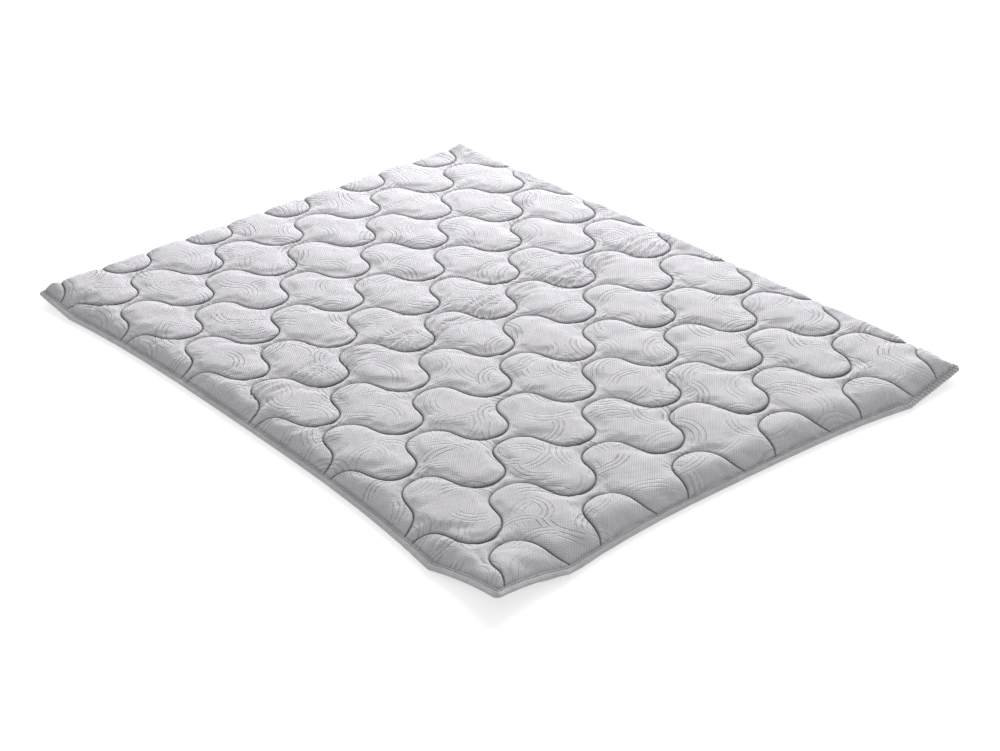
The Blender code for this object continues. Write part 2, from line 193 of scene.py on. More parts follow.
def edge_tables():
    """Where the four edges lie in the true pattern."""
    ys, xs = np.linspace(-HALF_L - 0.12, HALF_L + 0.12, 1601), np.linspace(-HALF_W - 0.10, HALF_W + 0.10, 1601)
    found = []
    for goal, along, which in ((-HALF_W, ys, 0), (HALF_W, ys, 0), (-HALF_L, xs, 1), (HALF_L, xs, 1)):
        low, high = np.full(along.shape, goal - 0.07), np.full(along.shape, goal + 0.07)
        for _ in range(44):
            mid = (low + high) / 2
            u, v = drawn_out(mid, along) if which == 0 else drawn_out(along, mid)
            over = (u if which == 0 else v) > goal
            high, low = np.where(over, mid, high), np.where(over, low, mid)
        found.append((low + high) / 2)
    return xs, ys, found


edge_xs, edge_ys, (x_left_at, x_right_at, y_front_at, y_back_at) = edge_tables()
base_left, base_right = -HALF_W - 0.0040, HALF_W + 0.0070
phase_step = TWO_PI / PER_WAVE
phase_low, phase_high = float(row_phase(base_left)), float(row_phase(base_right))
inner = np.arange(math.ceil(phase_low / phase_step + 0.3), math.floor(phase_high / phase_step - 0.3) + 1)
columns_x = row_x(np.concatenate([[phase_low], inner * phase_step, [phase_high]]))
columns_x[0], columns_x[-1] = base_left, base_right
lean_left = np.clip(1 - (columns_x - base_left) / 0.12, 0, 1) ** 1.2
lean_right = np.clip(1 - (base_right - columns_x) / 0.12, 0, 1) ** 1.2

lane = np.arange(PER_BAND) / PER_BAND
lane = lane - 0.80 * np.sin(TWO_PI * lane) / TWO_PI      # closer together along the rows

TEMPLATE = 480             # stations of one wave in the tables of distances


def nearest(px, py, line):
    best = np.full(px.shape, 1e9)
    for start in range(0, len(line), 60):
        part = line[start:start + 60]
        d = np.hypot(px[..., None] - part[:, 0], py[..., None] - part[:, 1]).min(-1)
        best = np.minimum(best, d)
    return best


def distance_tables():
    """Distance to the row above and to the row below, for one wave of a band."""
    fine = np.linspace(-1.5 * TWO_PI, 2.5 * TWO_PI, 2400)
    fx = WAVE / TWO_PI * (fine + SHARP * np.sin(2 * fine))
    upper, lower = np.stack([fx, SWING * np.cos(fine)], 1), np.stack([fx, -PITCH - SWING * np.cos(fine)], 1)
    p = np.linspace(0, TWO_PI, TEMPLATE + 1)
    px = (WAVE / TWO_PI * (p + SHARP * np.sin(2 * p)))[None, :]
    y_up, y_low = SWING * np.cos(p), -PITCH - SWING * np.cos(p)
    py = y_up[None, :] + (y_low - y_up)[None, :] * lane[:, None]
    px = np.broadcast_to(px, py.shape)
    return nearest(px, py, upper), nearest(px, py, lower)


table_up, table_low = distance_tables()


def pad_grid():
    """Plan place, distances to the rows above and below and arc place along them, over the whole plan."""
    j = np.repeat(np.arange(FIRST_ROW - 1, LAST_ROW + 2), PER_BAND)[:, None]
    k = np.tile(np.arange(PER_BAND), LAST_ROW - FIRST_ROW + 3)
    t = lane[k][:, None]
    x = np.broadcast_to(columns_x[None, :], (len(k), len(columns_x))).copy()
    for _ in range(14):
        phase = row_phase(x)
        y_up, y_low = row_y(j, phase), row_y(j + 1, phase)
        raw = y_up + (y_low - y_up) * t
        y = np.clip(raw, np.interp(x, edge_xs, y_front_at), np.interp(x, edge_xs, y_back_at))
        x = (columns_x[None, :] + lean_left[None, :] * (np.interp(y, edge_ys, x_left_at) - base_left)
             + lean_right[None, :] * (np.interp(y, edge_ys, x_right_at) - base_right))
    u, v = drawn_out(x, y)
    u[:, 0], u[:, -1] = -HALF_W, HALF_W
    v = np.where(raw < y - 1e-9, -HALF_L, np.where(raw > y + 1e-9, HALF_L, v))
    u, v = np.clip(u, -HALF_W, HALF_W), np.clip(v, -HALF_L, HALF_L)
    phase = row_phase(x)
    place = np.mod(phase + math.pi * (j % 2), TWO_PI) / TWO_PI * TEMPLATE
    low = np.minimum(place.astype(int), TEMPLATE - 1)
    part = place - low
    kk = np.broadcast_to(k[:, None], low.shape)
    d1 = table_up[kk, low] * (1 - part) + table_up[kk, low + 1] * part
    d2 = table_low[kk, low] * (1 - part) + table_low[kk, low + 1] * part
    arc_p = np.linspace(-32, 32, 16001)
    arc = np.concatenate([[0], np.cumsum(np.hypot(np.diff(row_x(arc_p)), np.diff(SWING * np.cos(arc_p))))])
    s = np.interp(phase, arc_p, arc)
    on_plan = ~((np.abs(np.abs(v) - HALF_L) < 1e-9).all(1))
    near = on_plan.copy()
    near[1:] |= on_plan[:-1]
    near[:-1] |= on_plan[1:]
    rows = np.where(near)[0]
    jj = np.broadcast_to(j, u.shape)
    return [a[rows] for a in (u, v, d1, d2, s, jj, kk)]


grid_u, grid_v, grid_d1, grid_d2, grid_s, grid_j, grid_k = pad_grid()


# ============================================================ heights
def pad_height(d1, d2):
    """Height between two rows: full and nearly level where they are far apart, low where they almost touch."""
    gap = d1 + d2
    near = np.clip(-0.004 * np.log(np.exp(-d1 / 0.004) + np.exp(-d2 / 0.004)), 0, None)
    full = 1 - np.exp(-(gap / 0.040) ** 1.25)
    side = 0.58 * (1 - np.exp(-near / 0.0022)) + 0.42 * (1 - np.exp(-(near / 0.016) ** 1.1))
    q = np.clip(4 * d1 * d2 / (gap * gap + 1e-12), 0, 1)
    # between two rows that almost touch, the fabric stands up as a narrow ridge
    ridge = np.exp(-(np.clip(gap - 0.0275, 0, None) / 0.020) ** 2)
    side = side * (1 - ridge) + 1.05 * q ** 0.85 * ridge
    return full * (0.84 * side + 0.16 * q ** 0.75)


def edge_reach(u, v):
    """How slowly the top rises from the binding: it is drawn down further at the front and left edges."""
    front, back = np.exp(-(v + HALF_L) / 0.03), np.exp(-(HALF_L - v) / 0.03)
    left, right = np.exp(-(u + HALF_W) / 0.03), np.exp(-(HALF_W - u) / 0.03)
    tip = np.exp(-((HALF_W - np.abs(u)) ** 2 + (HALF_L - np.abs(v)) ** 2) / 0.085 ** 2)
    # the pads in the left corners are plump out to the tape, the one in the front right corner lies slack
    slack = np.where(u < 0, -0.48, np.where(v < 0, 0.50, 0.0))
    return (1 - 0.62 * (back + right) / (front + back + left + right)) * (1 + slack * tip)


def rise_from_tape(d, width=0.062):
    t = np.clip((d - TAPE_IN + 0.0006) / width, 0, 1)
    return (1 - (1 - t) ** 2) ** 0.88


def thinned(d, most):
    """The layers are pressed thin towards the very edge, inside the binding."""
    return most * np.clip(1 - d / TAPE_IN, 0, 1) ** 1.4


CREASE_ROW = 4             # the topper was once folded over along this row
# where creases start on the row, and how far each goes on, for the pads above the row and for those below
ABOVE = ((-0.014, 0.100, 0.050), (0.010, 0.125, 0.032), (0.036, 0.140, 0.018), (0.064, 0.110, 0.020))
BELOW = ((-0.018, 0.095, 0.012), (0.008, 0.110, 0.013), (0.033, 0.105, 0.014), (0.056, 0.080, 0.010))


def crease(u, v, at, to, arch, deep, wide):
    """One crease: a narrow valley that starts at a row, arches over and runs out."""
    z = np.zeros_like(u)
    length = math.hypot(to[0] - at[0], to[1] - at[1])
    ex, ey = (to[0] - at[0]) / length, (to[1] - at[1]) / length
    w = ((u - at[0]) * ex + (v - at[1]) * ey) / length
    across = (v - at[1]) * ex - (u - at[0]) * ey
    near = (w > -0.03) & (w < 1.05) & (np.abs(across) < abs(arch) + 0.030)
    w, across = w[near], across[near]
    slope = 4 * arch / length * (1 - 2 * w)
    across = (across - 4 * arch * w * (1 - w)) / np.sqrt(1 + slope * slope)
    room = wide * (0.8 + 0.7 * np.clip(w, 0, 1))
    side = np.abs(across)
    valley = -np.exp(-side / room) + 0.45 * np.exp(-((side - 2.5 * room) / (1.4 * room)) ** 2)
    z[near] = deep * valley * smooth((w + 0.02) / 0.07) * (1 - smooth((w - 0.55) / 0.48))
    return z


def crease_band(u, v):
    """Creases across the width, where the topper was once folded over."""
    z = np.zeros_like(u)
    rnd = np.random.RandomState(7)
    line = np.linspace(-0.66, 0.66, 5281)
    line_y = row_y(CREASE_ROW, row_phase(line))
    for rising, table in ((False, ABOVE), (True, BELOW)):
        for level, length, climb in table:
            above = line_y > level
            for k in np.where(above[1:] != above[:-1])[0]:
                if bool(above[k + 1]) != rising:
                    continue
                at = line[k] + rnd.uniform(-0.002, 0.003), level + rnd.uniform(-0.004, 0.004)
                far = length * rnd.uniform(0.9, 1.15)
                arch = rnd.uniform(0.014, 0.021) if rising else rnd.uniform(0.001, 0.007)
                z += crease(u, v, at, (at[0] + far, at[1] + climb * rnd.uniform(0.8, 1.2)), arch,
                            rnd.uniform(0.0034, 0.0048), rnd.uniform(0.0034, 0.0047))
    for _ in range(22):
        at = rnd.uniform(-0.66, 0.60), 0.150 + rnd.normal(0, 0.030)
        z += crease(u, v, at, (at[0] + rnd.uniform(0.05, 0.09), at[1] + rnd.uniform(-0.01, 0.03)), rnd.uniform(0.002, 0.008),
                    rnd.uniform(0.0008, 0.0018), 0.0042)
    return z


CORNER_CREASES = [
    # start, end, arch, depth, width
    ((-0.692, -0.817), (-0.624, -0.792), 0.0060, 0.0060, 0.0040),
    ((-0.686, -0.783), (-0.638, -0.757), 0.0040, 0.0046, 0.0034),
    ((-0.683, -0.800), (-0.640, -0.778), 0.0030, 0.0050, 0.0034),
    ((-0.640, -0.716), (-0.590, -0.700), 0.0020, 0.0020, 0.0034),
    ((-0.635, -0.735), (-0.580, -0.712), 0.0020, 0.0024, 0.0034),
    ((-0.630, -0.752), (-0.575, -0.724), 0.0020, 0.0024, 0.0034),
    ((-0.655, -0.900), (-0.640, -0.840), -0.0050, 0.0026, 0.0042),
    ((-0.683, 0.823), (-0.574, 0.873), 0.0130, 0.0052, 0.0046),
    ((-0.655, 0.818), (-0.580, 0.850), 0.0060, 0.0046, 0.0040),
    ((-0.693, 0.735), (-0.648, 0.780), 0.0060, 0.0040, 0.0040),
    ((-0.680, 0.722), (-0.630, 0.760), 0.0040, 0.0026, 0.0040),
    ((0.690, -0.900), (0.640, -0.880), -0.0060, 0.0040, 0.0042),
    ((0.680, -0.935), (0.655, -0.905), -0.0040, 0.0034, 0.0036),
    ((0.690, 0.880), (0.630, 0.900), 0.0050, 0.0034, 0.0042),
]


def top_height(u, v, d1, d2, s, j):
    d = edge_distance(u, v)
    h = pad_height(d1, d2)
    body = np.clip(h, 0, 1)
    # no two pads fill alike
    h = h * PAD * (1 + 0.08 * value_noise(u, v, 0.16, 3) + 0.06 * value_noise(u, v, 0.075, 5))
    h = h + body * (0.0018 * value_noise(u, v, 0.055, 9) + 0.0007 * value_noise(u * 0.7 + v * 0.7, v - u, 0.026, 11))
    # fabric gathered against the rows
    for dist, line, seed in ((d1, j, 21), (d2, j + 1, 22)):
        lean = value_noise(s + 0.01 * value_noise(s, line * 0.31, 0.05, seed), line * 0.37, 0.0115, seed + 3)
        neck = np.exp(-((d1 + d2 - 0.026) / 0.020) ** 2)
        h = h + (0.00065 + 0.00240 * neck) * lean * np.exp(-dist / 0.011) * (1 - np.exp(-dist / 0.0022))
    return h * rise_from_tape(d, 0.062 * edge_reach(u, v)) * 0.985 + seam_level(u, v)


def seam_level(u, v):
    d = edge_distance(u, v)
    return (SKIN_EDGE - thinned(d, 0.0036) + (SEAM - SKIN_EDGE) * rise_from_tape(d, 0.075 * edge_reach(u, v))
            + 0.0010 * value_noise(u, v, 0.33, 13) * rise_from_tape(d, 0.15) + corner_lift(u, v))


def under_height(u, v, d1, d2):
    """Underside: pressed flat under the pads, drawn up a little along the rows."""
    d = edge_distance(u, v)
    drawn = 0.0022 * np.exp(-(np.minimum(d1, d2) / 0.006) ** 1.2)
    return ramp(d, UNDER_EDGE, 0.0) + corner_lift(u, v) + drawn * np.clip(d / 0.05, 0.2, 1)


# ============================================================ meshes
def new_object(name, verts, faces, mat=None, shade=True):
    """faces: one array, or a list of arrays, each of equal-length index rows."""
    blocks = faces if isinstance(faces, list) else [faces]
    mesh = bpy.data.meshes.new(name)
    mesh.vertices.add(len(verts))
    mesh.vertices.foreach_set("co", np.ascontiguousarray(verts, np.float32).ravel())
    flat = np.concatenate([b.ravel() for b in blocks]).astype(np.int32)
    sizes = np.concatenate([np.full(len(b), b.shape[1]) for b in blocks])
    mesh.loops.add(len(flat))
    mesh.loops.foreach_set("vertex_index", flat)
    mesh.polygons.add(len(sizes))
    starts = np.concatenate([[0], np.cumsum(sizes)[:-1]]).astype(np.int32)
    mesh.polygons.foreach_set("loop_start", starts)
    mesh.polygons.foreach_set("use_smooth", np.full(len(sizes), shade))
    mesh.update(calc_edges=True)
    mesh.validate()
    ob = bpy.data.objects.new(name, mesh)
    bpy.context.scene.collection.objects.link(ob)
    if mat:
        mesh.materials.append(mat)
    return ob


def grid_faces(index):
    """Quads of a grid; those that the outline flattened are left out, or kept as triangles."""
    a = index[:-1, :-1].ravel()
    b = index[:-1, 1:].ravel()
    c = index[1:, 1:].ravel()
    d = index[1:, :-1].ravel()
    quads = np.stack([a, d, c, b], 1)
    bad = (a == b) | (c == d) | (a == d) | (b == c)
    tris = []
    for q in quads[bad]:
        keep = []
        for i in q:
            if i not in keep:
                keep.append(i)
        if len(keep) == 3:
            tris.append(keep)
    return quads[~bad], np.array(tris, int).reshape(-1, 3)


def plan_surface(u, v, data):
    """One surface over the plan: its own u, v and data for each vertex, quads and triangles, and for each
    grid place the vertex that it became, or -1."""
    rows, cols = u.shape
    key = np.stack([np.round(u.ravel() * 1e6), np.round(v.ravel() * 1e6)], 1).astype(np.int64)
    _, first, index = np.unique(key, axis=0, return_index=True, return_inverse=True)
    index = index.reshape(rows, cols)
    uu, vv = u.ravel()[first], v.ravel()[first]
    dd = data.reshape(rows * cols, -1)[first]
    quads, tris = grid_faces(index)

    def kept(f):
        """Without the faces squeezed flat onto an edge."""
        if not len(f):
            return f
        fu, fv = uu[f], vv[f]
        area = 0
        for k in range(1, f.shape[1] - 1):
            area = area + np.abs((fu[:, k] - fu[:, 0]) * (fv[:, k + 1] - fv[:, 0]) - (fu[:, k + 1] - fu[:, 0]) * (fv[:, k] - fv[:, 0]))
        return f[area > 1e-10]
    quads, tris = kept(quads), kept(tris)
    used = np.unique(np.concatenate([quads.ravel(), tris.ravel()]))
    back = np.full(len(uu), -1)
    back[used] = np.arange(len(used))
    return uu[used], vv[used], dd[used], back[quads], back[tris].reshape(-1, 3), back[index]


def boundary(faces_list):
    """Edges of one face only."""
    edges = []
    for f in faces_list:
        for k in range(f.shape[1]):
            edges.append(np.stack([f[:, k], f[:, (k + 1) % f.shape[1]]], 1))
    e = np.sort(np.concatenate(edges), 1)
    uniq, count = np.unique(e, axis=0, return_counts=True)
    return uniq[count == 1]


def ordered_loop(edges):
    following = {}
    for a, b in edges:
        following.setdefault(int(a), []).append(int(b))
        following.setdefault(int(b), []).append(int(a))
    start = int(edges[0][0])
    loop, previous, here = [start], None, start
    while True:
        options = [x for x in following[here] if x != previous]
        nxt = options[0]
        if nxt == start:
            break
        loop.append(nxt)
        previous, here = here, nxt
        if len(loop) > len(edges) + 5:
            raise RuntimeError("outline isn't one loop")
    if len(loop) != len(edges):
        raise RuntimeError("outline isn't one loop: %d of %d edges" % (len(loop), len(edges)))
    return loop


def rim_place(u, v):
    """Place round the plan's edge, from 0 to 4, starting at the front left corner."""
    su, sv = (u + HALF_W) / (2 * HALF_W), (v + HALF_L) / (2 * HALF_L)
    side = np.argmin(np.stack([np.abs(sv), np.abs(1 - su), np.abs(1 - sv), np.abs(su)]), 0)
    return np.select([side == 0, side == 1, side == 2, side == 3], [su, 1 + sv, 2 + (1 - su), 3 + (1 - sv)])


def start_loop(loop, place):
    """The loop turned to run forwards round the edge from place 0."""
    p = place[loop]
    step = np.diff(np.concatenate([p, p[:1]]))
    if np.sum(step > 0) < np.sum(step < 0):
        loop, p = loop[::-1], p[::-1]
    k = int(np.argmin(p))
    return loop[k:] + loop[:k], np.concatenate([p[k:], p[:k]])


def closed_layer(name, upper, lower, mat):
    """One closed solid from two surfaces over the plan, which may be meshed differently. Each is (plan surface,
    points)."""
    parts = []
    for ((u, v, _, quads, tris, _), points), flip in ((upper, False), (lower, True)):
        if flip:
            quads, tris = quads[:, ::-1], tris[:, ::-1]
        loop = ordered_loop(boundary([quads, tris]))
        loop, place = start_loop(loop, rim_place(u, v))
        parts.append((points, quads, tris, loop, place))
    n = len(parts[0][0])
    top_loop, top_place = np.array(parts[0][3] + [parts[0][3][0]]), np.append(parts[0][4], 4.0 + parts[0][4][0])
    low_loop, low_place = np.array(parts[1][3] + [parts[1][3][0]]) + n, np.append(parts[1][4], 4.0 + parts[1][4][0])
    wall, i, k = [], 0, 0
    while i < len(top_loop) - 1 or k < len(low_loop) - 1:
        if k >= len(low_loop) - 1 or (i < len(top_loop) - 1 and top_place[i + 1] <= low_place[k + 1]):
            wall.append((top_loop[i], low_loop[k], top_loop[i + 1]))
            i += 1
        else:
            wall.append((top_loop[i], low_loop[k], low_loop[k + 1]))
            k += 1
    verts = np.concatenate([parts[0][0], parts[1][0]])
    quads = np.concatenate([parts[0][1], parts[1][1] + n])
    tris = np.concatenate([parts[0][2], parts[1][2] + n, np.array(wall)])
    return new_object(name, verts, [quads, tris], mat)


def standing(surface):
    """Points of a surface whose data are its heights."""
    x, y = warp(surface[0], surface[1])
    return surface, np.stack([x, y, surface[2][:, 0]], 1)


def coarse_plan(nu, nv, rule):
    u, v = np.meshgrid(np.linspace(-HALF_W, HALF_W, nu), np.linspace(HALF_L, -HALF_L, nv))
    return standing(plan_surface(u, v, rule(u, v)))


def tidy(ob):
    """Turns every face outwards."""
    bm = bmesh.new()
    bm.from_mesh(ob.data)
    bmesh.ops.recalc_face_normals(bm, faces=bm.faces[:])
    bm.to_mesh(ob.data)
    bm.free()
    return ob


# ============================================================ swelling of the pads
SIM_CELL = 0.0060


def pattern_at(u, v):
    """Distances to the rows above and below, arc place and row number at any place of the plan."""
    x, y = u.copy(), v.copy()
    for _ in range(12):
        uu, vv = drawn_out(x, y)
        x, y = x - (uu - u), y - (vv - v)
    phase = row_phase(x)
    j = np.full(u.shape, FIRST_ROW - 1)
    for n in range(FIRST_ROW - 1, LAST_ROW + 2):
        j = np.where(y <= row_y(n, phase), n, j)
    y_up, y_low = row_y(j, phase), row_y(j + 1, phase)
    t = np.clip((y_up - y) / (y_up - y_low), 0, 0.999)
    k = np.interp(t, np.append(lane, 1.0), np.arange(PER_BAND + 1))
    place = np.mod(phase + math.pi * (j % 2), TWO_PI) / TWO_PI * TEMPLATE
    p0 = np.minimum(place.astype(int), TEMPLATE - 1)
    pf = place - p0
    k0 = np.minimum(k.astype(int), PER_BAND - 1)
    kf = k - k0
    k1 = np.minimum(k0 + 1, PER_BAND - 1)

    def look(table, past):
        """past: the table's value on the next row, beyond its last line."""
        last = k0 + 1 >= PER_BAND
        a = table[k0, p0] * (1 - pf) + table[k0, p0 + 1] * pf
        b = np.where(last, past if past is not None else a, table[k1, p0] * (1 - pf) + table[k1, p0 + 1] * pf)
        return a * (1 - kf) + b * kf

    d1, d2 = look(table_up, None), look(table_low, 0.0)
    arc_p = np.linspace(-32, 32, 16001)
    arc = np.concatenate([[0], np.cumsum(np.hypot(np.diff(row_x(arc_p)), np.diff(SWING * np.cos(arc_p))))])
    return d1, d2, np.interp(phase, arc_p, arc), j


def blur(a, times):
    for _ in range(times):
        p = np.pad(a, ((1, 1), (1, 1), (0, 0)), mode="edge")
        a = (p[:-2, 1:-1] + p[2:, 1:-1] + p[1:-1, :-2] + p[1:-1, 2:] + 4 * p[1:-1, 1:-1]) / 8
    return a


def capped(shift, most):
    """Shift bent over so that it never passes most."""
    size = np.abs(shift) + 1e-12
    return np.sign(shift) * most * np.tanh(size / most)


def swell():
    """The cover, held along its rows and its bound edge, blown up by a cloth simulation. Gives, for every place of
    the fine grid, how far it moves."""
    nu, nv = round(2 * HALF_W / SIM_CELL) + 1, round(2 * HALF_L / SIM_CELL) + 1
    us, vs = np.linspace(-HALF_W, HALF_W, nu), np.linspace(-HALF_L, HALF_L, nv)
    u, v = np.meshgrid(us, vs)
    d1, d2, s, j = pattern_at(u, v)
    z = top_height(u, v, d1, d2, s, j)
    x, y = warp(u, v)
    start = np.stack([x, y, z], -1)
    index = np.arange(nu * nv).reshape(nv, nu)
    quads = np.stack([index[:-1, :-1].ravel(), index[:-1, 1:].ravel(), index[1:, 1:].ravel(), index[1:, :-1].ravel()], 1)
    skin = new_object("swelling_cover", start.reshape(-1, 3), quads)
    held = (np.minimum(d1, d2) < 0.0036) | (edge_distance(u, v) < RING_TAPE + 0.002)
    pins = skin.vertex_groups.new(name="held")
    pins.add(index[held].tolist(), 1.0, "REPLACE")
    cloth = skin.modifiers.new("swell", "CLOTH")
    rule = cloth.settings
    rule.quality = 4
    rule.mass = 0.10
    rule.vertex_group_mass = "held"
    rule.tension_stiffness = rule.compression_stiffness = 18
    rule.shear_stiffness = 6
    rule.bending_stiffness = 0.35
    rule.use_pressure = True
    rule.uniform_pressure_force = 2
    rule.shrink_min = -0.025
    rule.effector_weights.gravity = 0
    cloth.collision_settings.use_collision = False
    scene = bpy.context.scene
    for f in range(1, 13):
        scene.frame_set(f)
    moved = skin.evaluated_get(bpy.context.evaluated_depsgraph_get())
    flat = np.empty(len(moved.data.vertices) * 3, np.float32)
    moved.data.vertices.foreach_get("co", flat)
    shift = flat.reshape(nv, nu, 3).astype(float) - start
    scene.frame_set(1)
    bpy.data.objects.remove(skin, do_unlink=True)
    shift = blur(shift, 2)
    print("swell", shift[..., 2].min(), np.percentile(shift[..., 2], [5, 50, 95]), shift[..., 2].max(), np.abs(shift[..., :2]).max())
    shift[..., :2] = capped(shift[..., :2], 0.0025)
    shift[..., 2] = capped(shift[..., 2], 0.0018)
    # back onto the fine grid
    fu = np.clip((grid_u + HALF_W) / (2 * HALF_W) * (nu - 1), 0, nu - 1.0001)
    fv = np.clip((grid_v + HALF_L) / (2 * HALF_L) * (nv - 1), 0, nv - 1.0001)
    iu, iv = fu.astype(int), fv.astype(int)
    pu, pv = (fu - iu)[..., None], (fv - iv)[..., None]
    fine = ((shift[iv, iu] * (1 - pu) + shift[iv, iu + 1] * pu) * (1 - pv)
            + (shift[iv + 1, iu] * (1 - pu) + shift[iv + 1, iu + 1] * pu) * pv)
    hold = 1 - np.exp(-(np.minimum(grid_d1, grid_d2) / 0.0050) ** 1.6)
    hold = hold * smooth((edge_distance(grid_u, grid_v) - RING_TAPE) / 0.010)
    return fine * hold[..., None]


# ============================================================ materials
def principled(name, colour, roughness, sheen=0.0):
    m = bpy.data.materials.new(name)
    m.use_nodes = True
    shader = m.node_tree.nodes["Principled BSDF"]
    shader.inputs["Base Color"].default_value = (*colour, 1)
    shader.inputs["Roughness"].default_value = roughness
    shader.inputs["Specular IOR Level"].default_value = 0.25
    if sheen:
        shader.inputs["Sheen Weight"].default_value = sheen
        shader.inputs["Sheen Roughness"].default_value = 0.5
    return m


class Nodes:
    """A few short words for building a node tree."""

    def __init__(self, mat):
        self.tree = mat.node_tree
        self.shader = self.tree.nodes["Principled BSDF"]

    def add(self, kind, **settings):
        node = self.tree.nodes.new(kind)
        for key, value in settings.items():
            setattr(node, key, value)
        return node

    def link(self, a, b):
        self.tree.links.new(a, b)

    def put(self, socket, value):
        if isinstance(value, bpy.types.NodeSocket):
            self.link(value, socket)
        else:
            socket.default_value = value

    def math(self, op, a, b=None, c=None, clamp=False):
        node = self.add("ShaderNodeMath", operation=op, use_clamp=clamp)
        self.put(node.inputs[0], a)
        if b is not None:
            self.put(node.inputs[1], b)
        if c is not None:
            self.put(node.inputs[2], c)
        return node.outputs[0]

    def vec(self, op, a, b=None, scale=None):
        node = self.add("ShaderNodeVectorMath", operation=op)
        self.put(node.inputs[0], a)
        if b is not None:
            self.put(node.inputs[1], b)
        if scale is not None:
            self.put(node.inputs["Scale"], scale)
        return node.outputs["Value"] if op in ("LENGTH", "DOT_PRODUCT", "DISTANCE") else node.outputs["Vector"]

    def place(self):
        return self.add("ShaderNodeTexCoord").outputs["Object"]

    def noise(self, at, scale, detail=3.0, rough=0.5):
        node = self.add("ShaderNodeTexNoise")
        self.link(at, node.inputs["Vector"])
        node.inputs["Scale"].default_value = scale
        node.inputs["Detail"].default_value = detail
        node.inputs["Roughness"].default_value = rough
        return node.outputs["Fac"]

    def split(self, at):
        node = self.add("ShaderNodeSeparateXYZ")
        self.link(at, node.inputs[0])
        return node.outputs

    def span(self, value, a, b, c=0.0, d=1.0):
        node = self.add("ShaderNodeMapRange", clamp=True)
        self.put(node.inputs["Value"], value)
        for key, x in (("From Min", a), ("From Max", b), ("To Min", c), ("To Max", d)):
            node.inputs[key].default_value = x
        return node.outputs["Result"]

    def mix(self, factor, a, b):
        node = self.add("ShaderNodeMix", data_type="RGBA")
        self.put(node.inputs["Factor"], factor)
        for key, x in ((6, a), (7, b)):
            if isinstance(x, tuple):
                node.inputs[key].default_value = (*x, 1)
            else:
                self.link(x, node.inputs[key])
        return node.outputs[2]

    def bump(self, height, distance, strength=1.0, after=None):
        node = self.add("ShaderNodeBump")
        node.inputs["Strength"].default_value = strength
        node.inputs["Distance"].default_value = distance
        self.put(node.inputs["Height"], height)
        if after is not None:
            self.link(after, node.inputs["Normal"])
        return node.outputs["Normal"]


def swirls(n, flat, cells, offset, spacing, turn_by):
    """Groups of a few sunk arcs with a common centre, one group in each cell, each turned its own way.
    Gives the arcs, 1 in the bottom of a groove, and where the group is."""
    moved = n.vec("ADD", flat, offset)
    cell = n.add("ShaderNodeTexVoronoi", voronoi_dimensions="2D")
    n.link(moved, cell.inputs["Vector"])
    cell.inputs["Scale"].default_value = cells
    cell.inputs["Randomness"].default_value = 0.80
    rand = n.add("ShaderNodeSeparateColor")
    n.link(cell.outputs["Color"], rand.inputs[0])
    turn = n.math("MULTIPLY_ADD", rand.outputs[0], TWO_PI, turn_by)
    away = n.add("ShaderNodeCombineXYZ")
    n.link(n.math("COSINE", turn), away.inputs[0])
    n.link(n.math("SINE", turn), away.inputs[1])
    # the arcs' common centre lies outside the middle of the cell
    reach = n.math("MULTIPLY_ADD", rand.outputs[1], 0.30 / cells, 0.45 / cells)
    centre = n.vec("ADD", cell.outputs["Position"], n.vec("SCALE", away.outputs[0], scale=reach))
    toward = n.vec("SUBTRACT", moved, centre)
    r = n.vec("LENGTH", toward)
    # the spacing opens a little towards one end of each arc
    facing = n.vec("DOT_PRODUCT", n.vec("NORMALIZE", toward), n.vec("SCALE", away.outputs[0], scale=-1.0))
    ring = n.math("SINE", n.math("MULTIPLY", r, TWO_PI / spacing))
    groove = n.span(ring, 0.30, 0.95)
    off = n.math("ABSOLUTE", n.math("SUBTRACT", r, reach))
    few = n.span(off, 1.25 * spacing, 1.55 * spacing, 1.0, 0.0)
    arc_end = n.span(facing, 0.62, 0.84)
    inside = n.span(cell.outputs["Distance"], 0.40, 0.54, 1.0, 0.0)
    there = n.math("MULTIPLY", n.math("MULTIPLY", few, arc_end), inside)
    strength = n.span(rand.outputs[2], 0.1, 0.9, 0.35, 1.0)
    return n.math("MULTIPLY", n.math("MULTIPLY", groove, there), strength), there


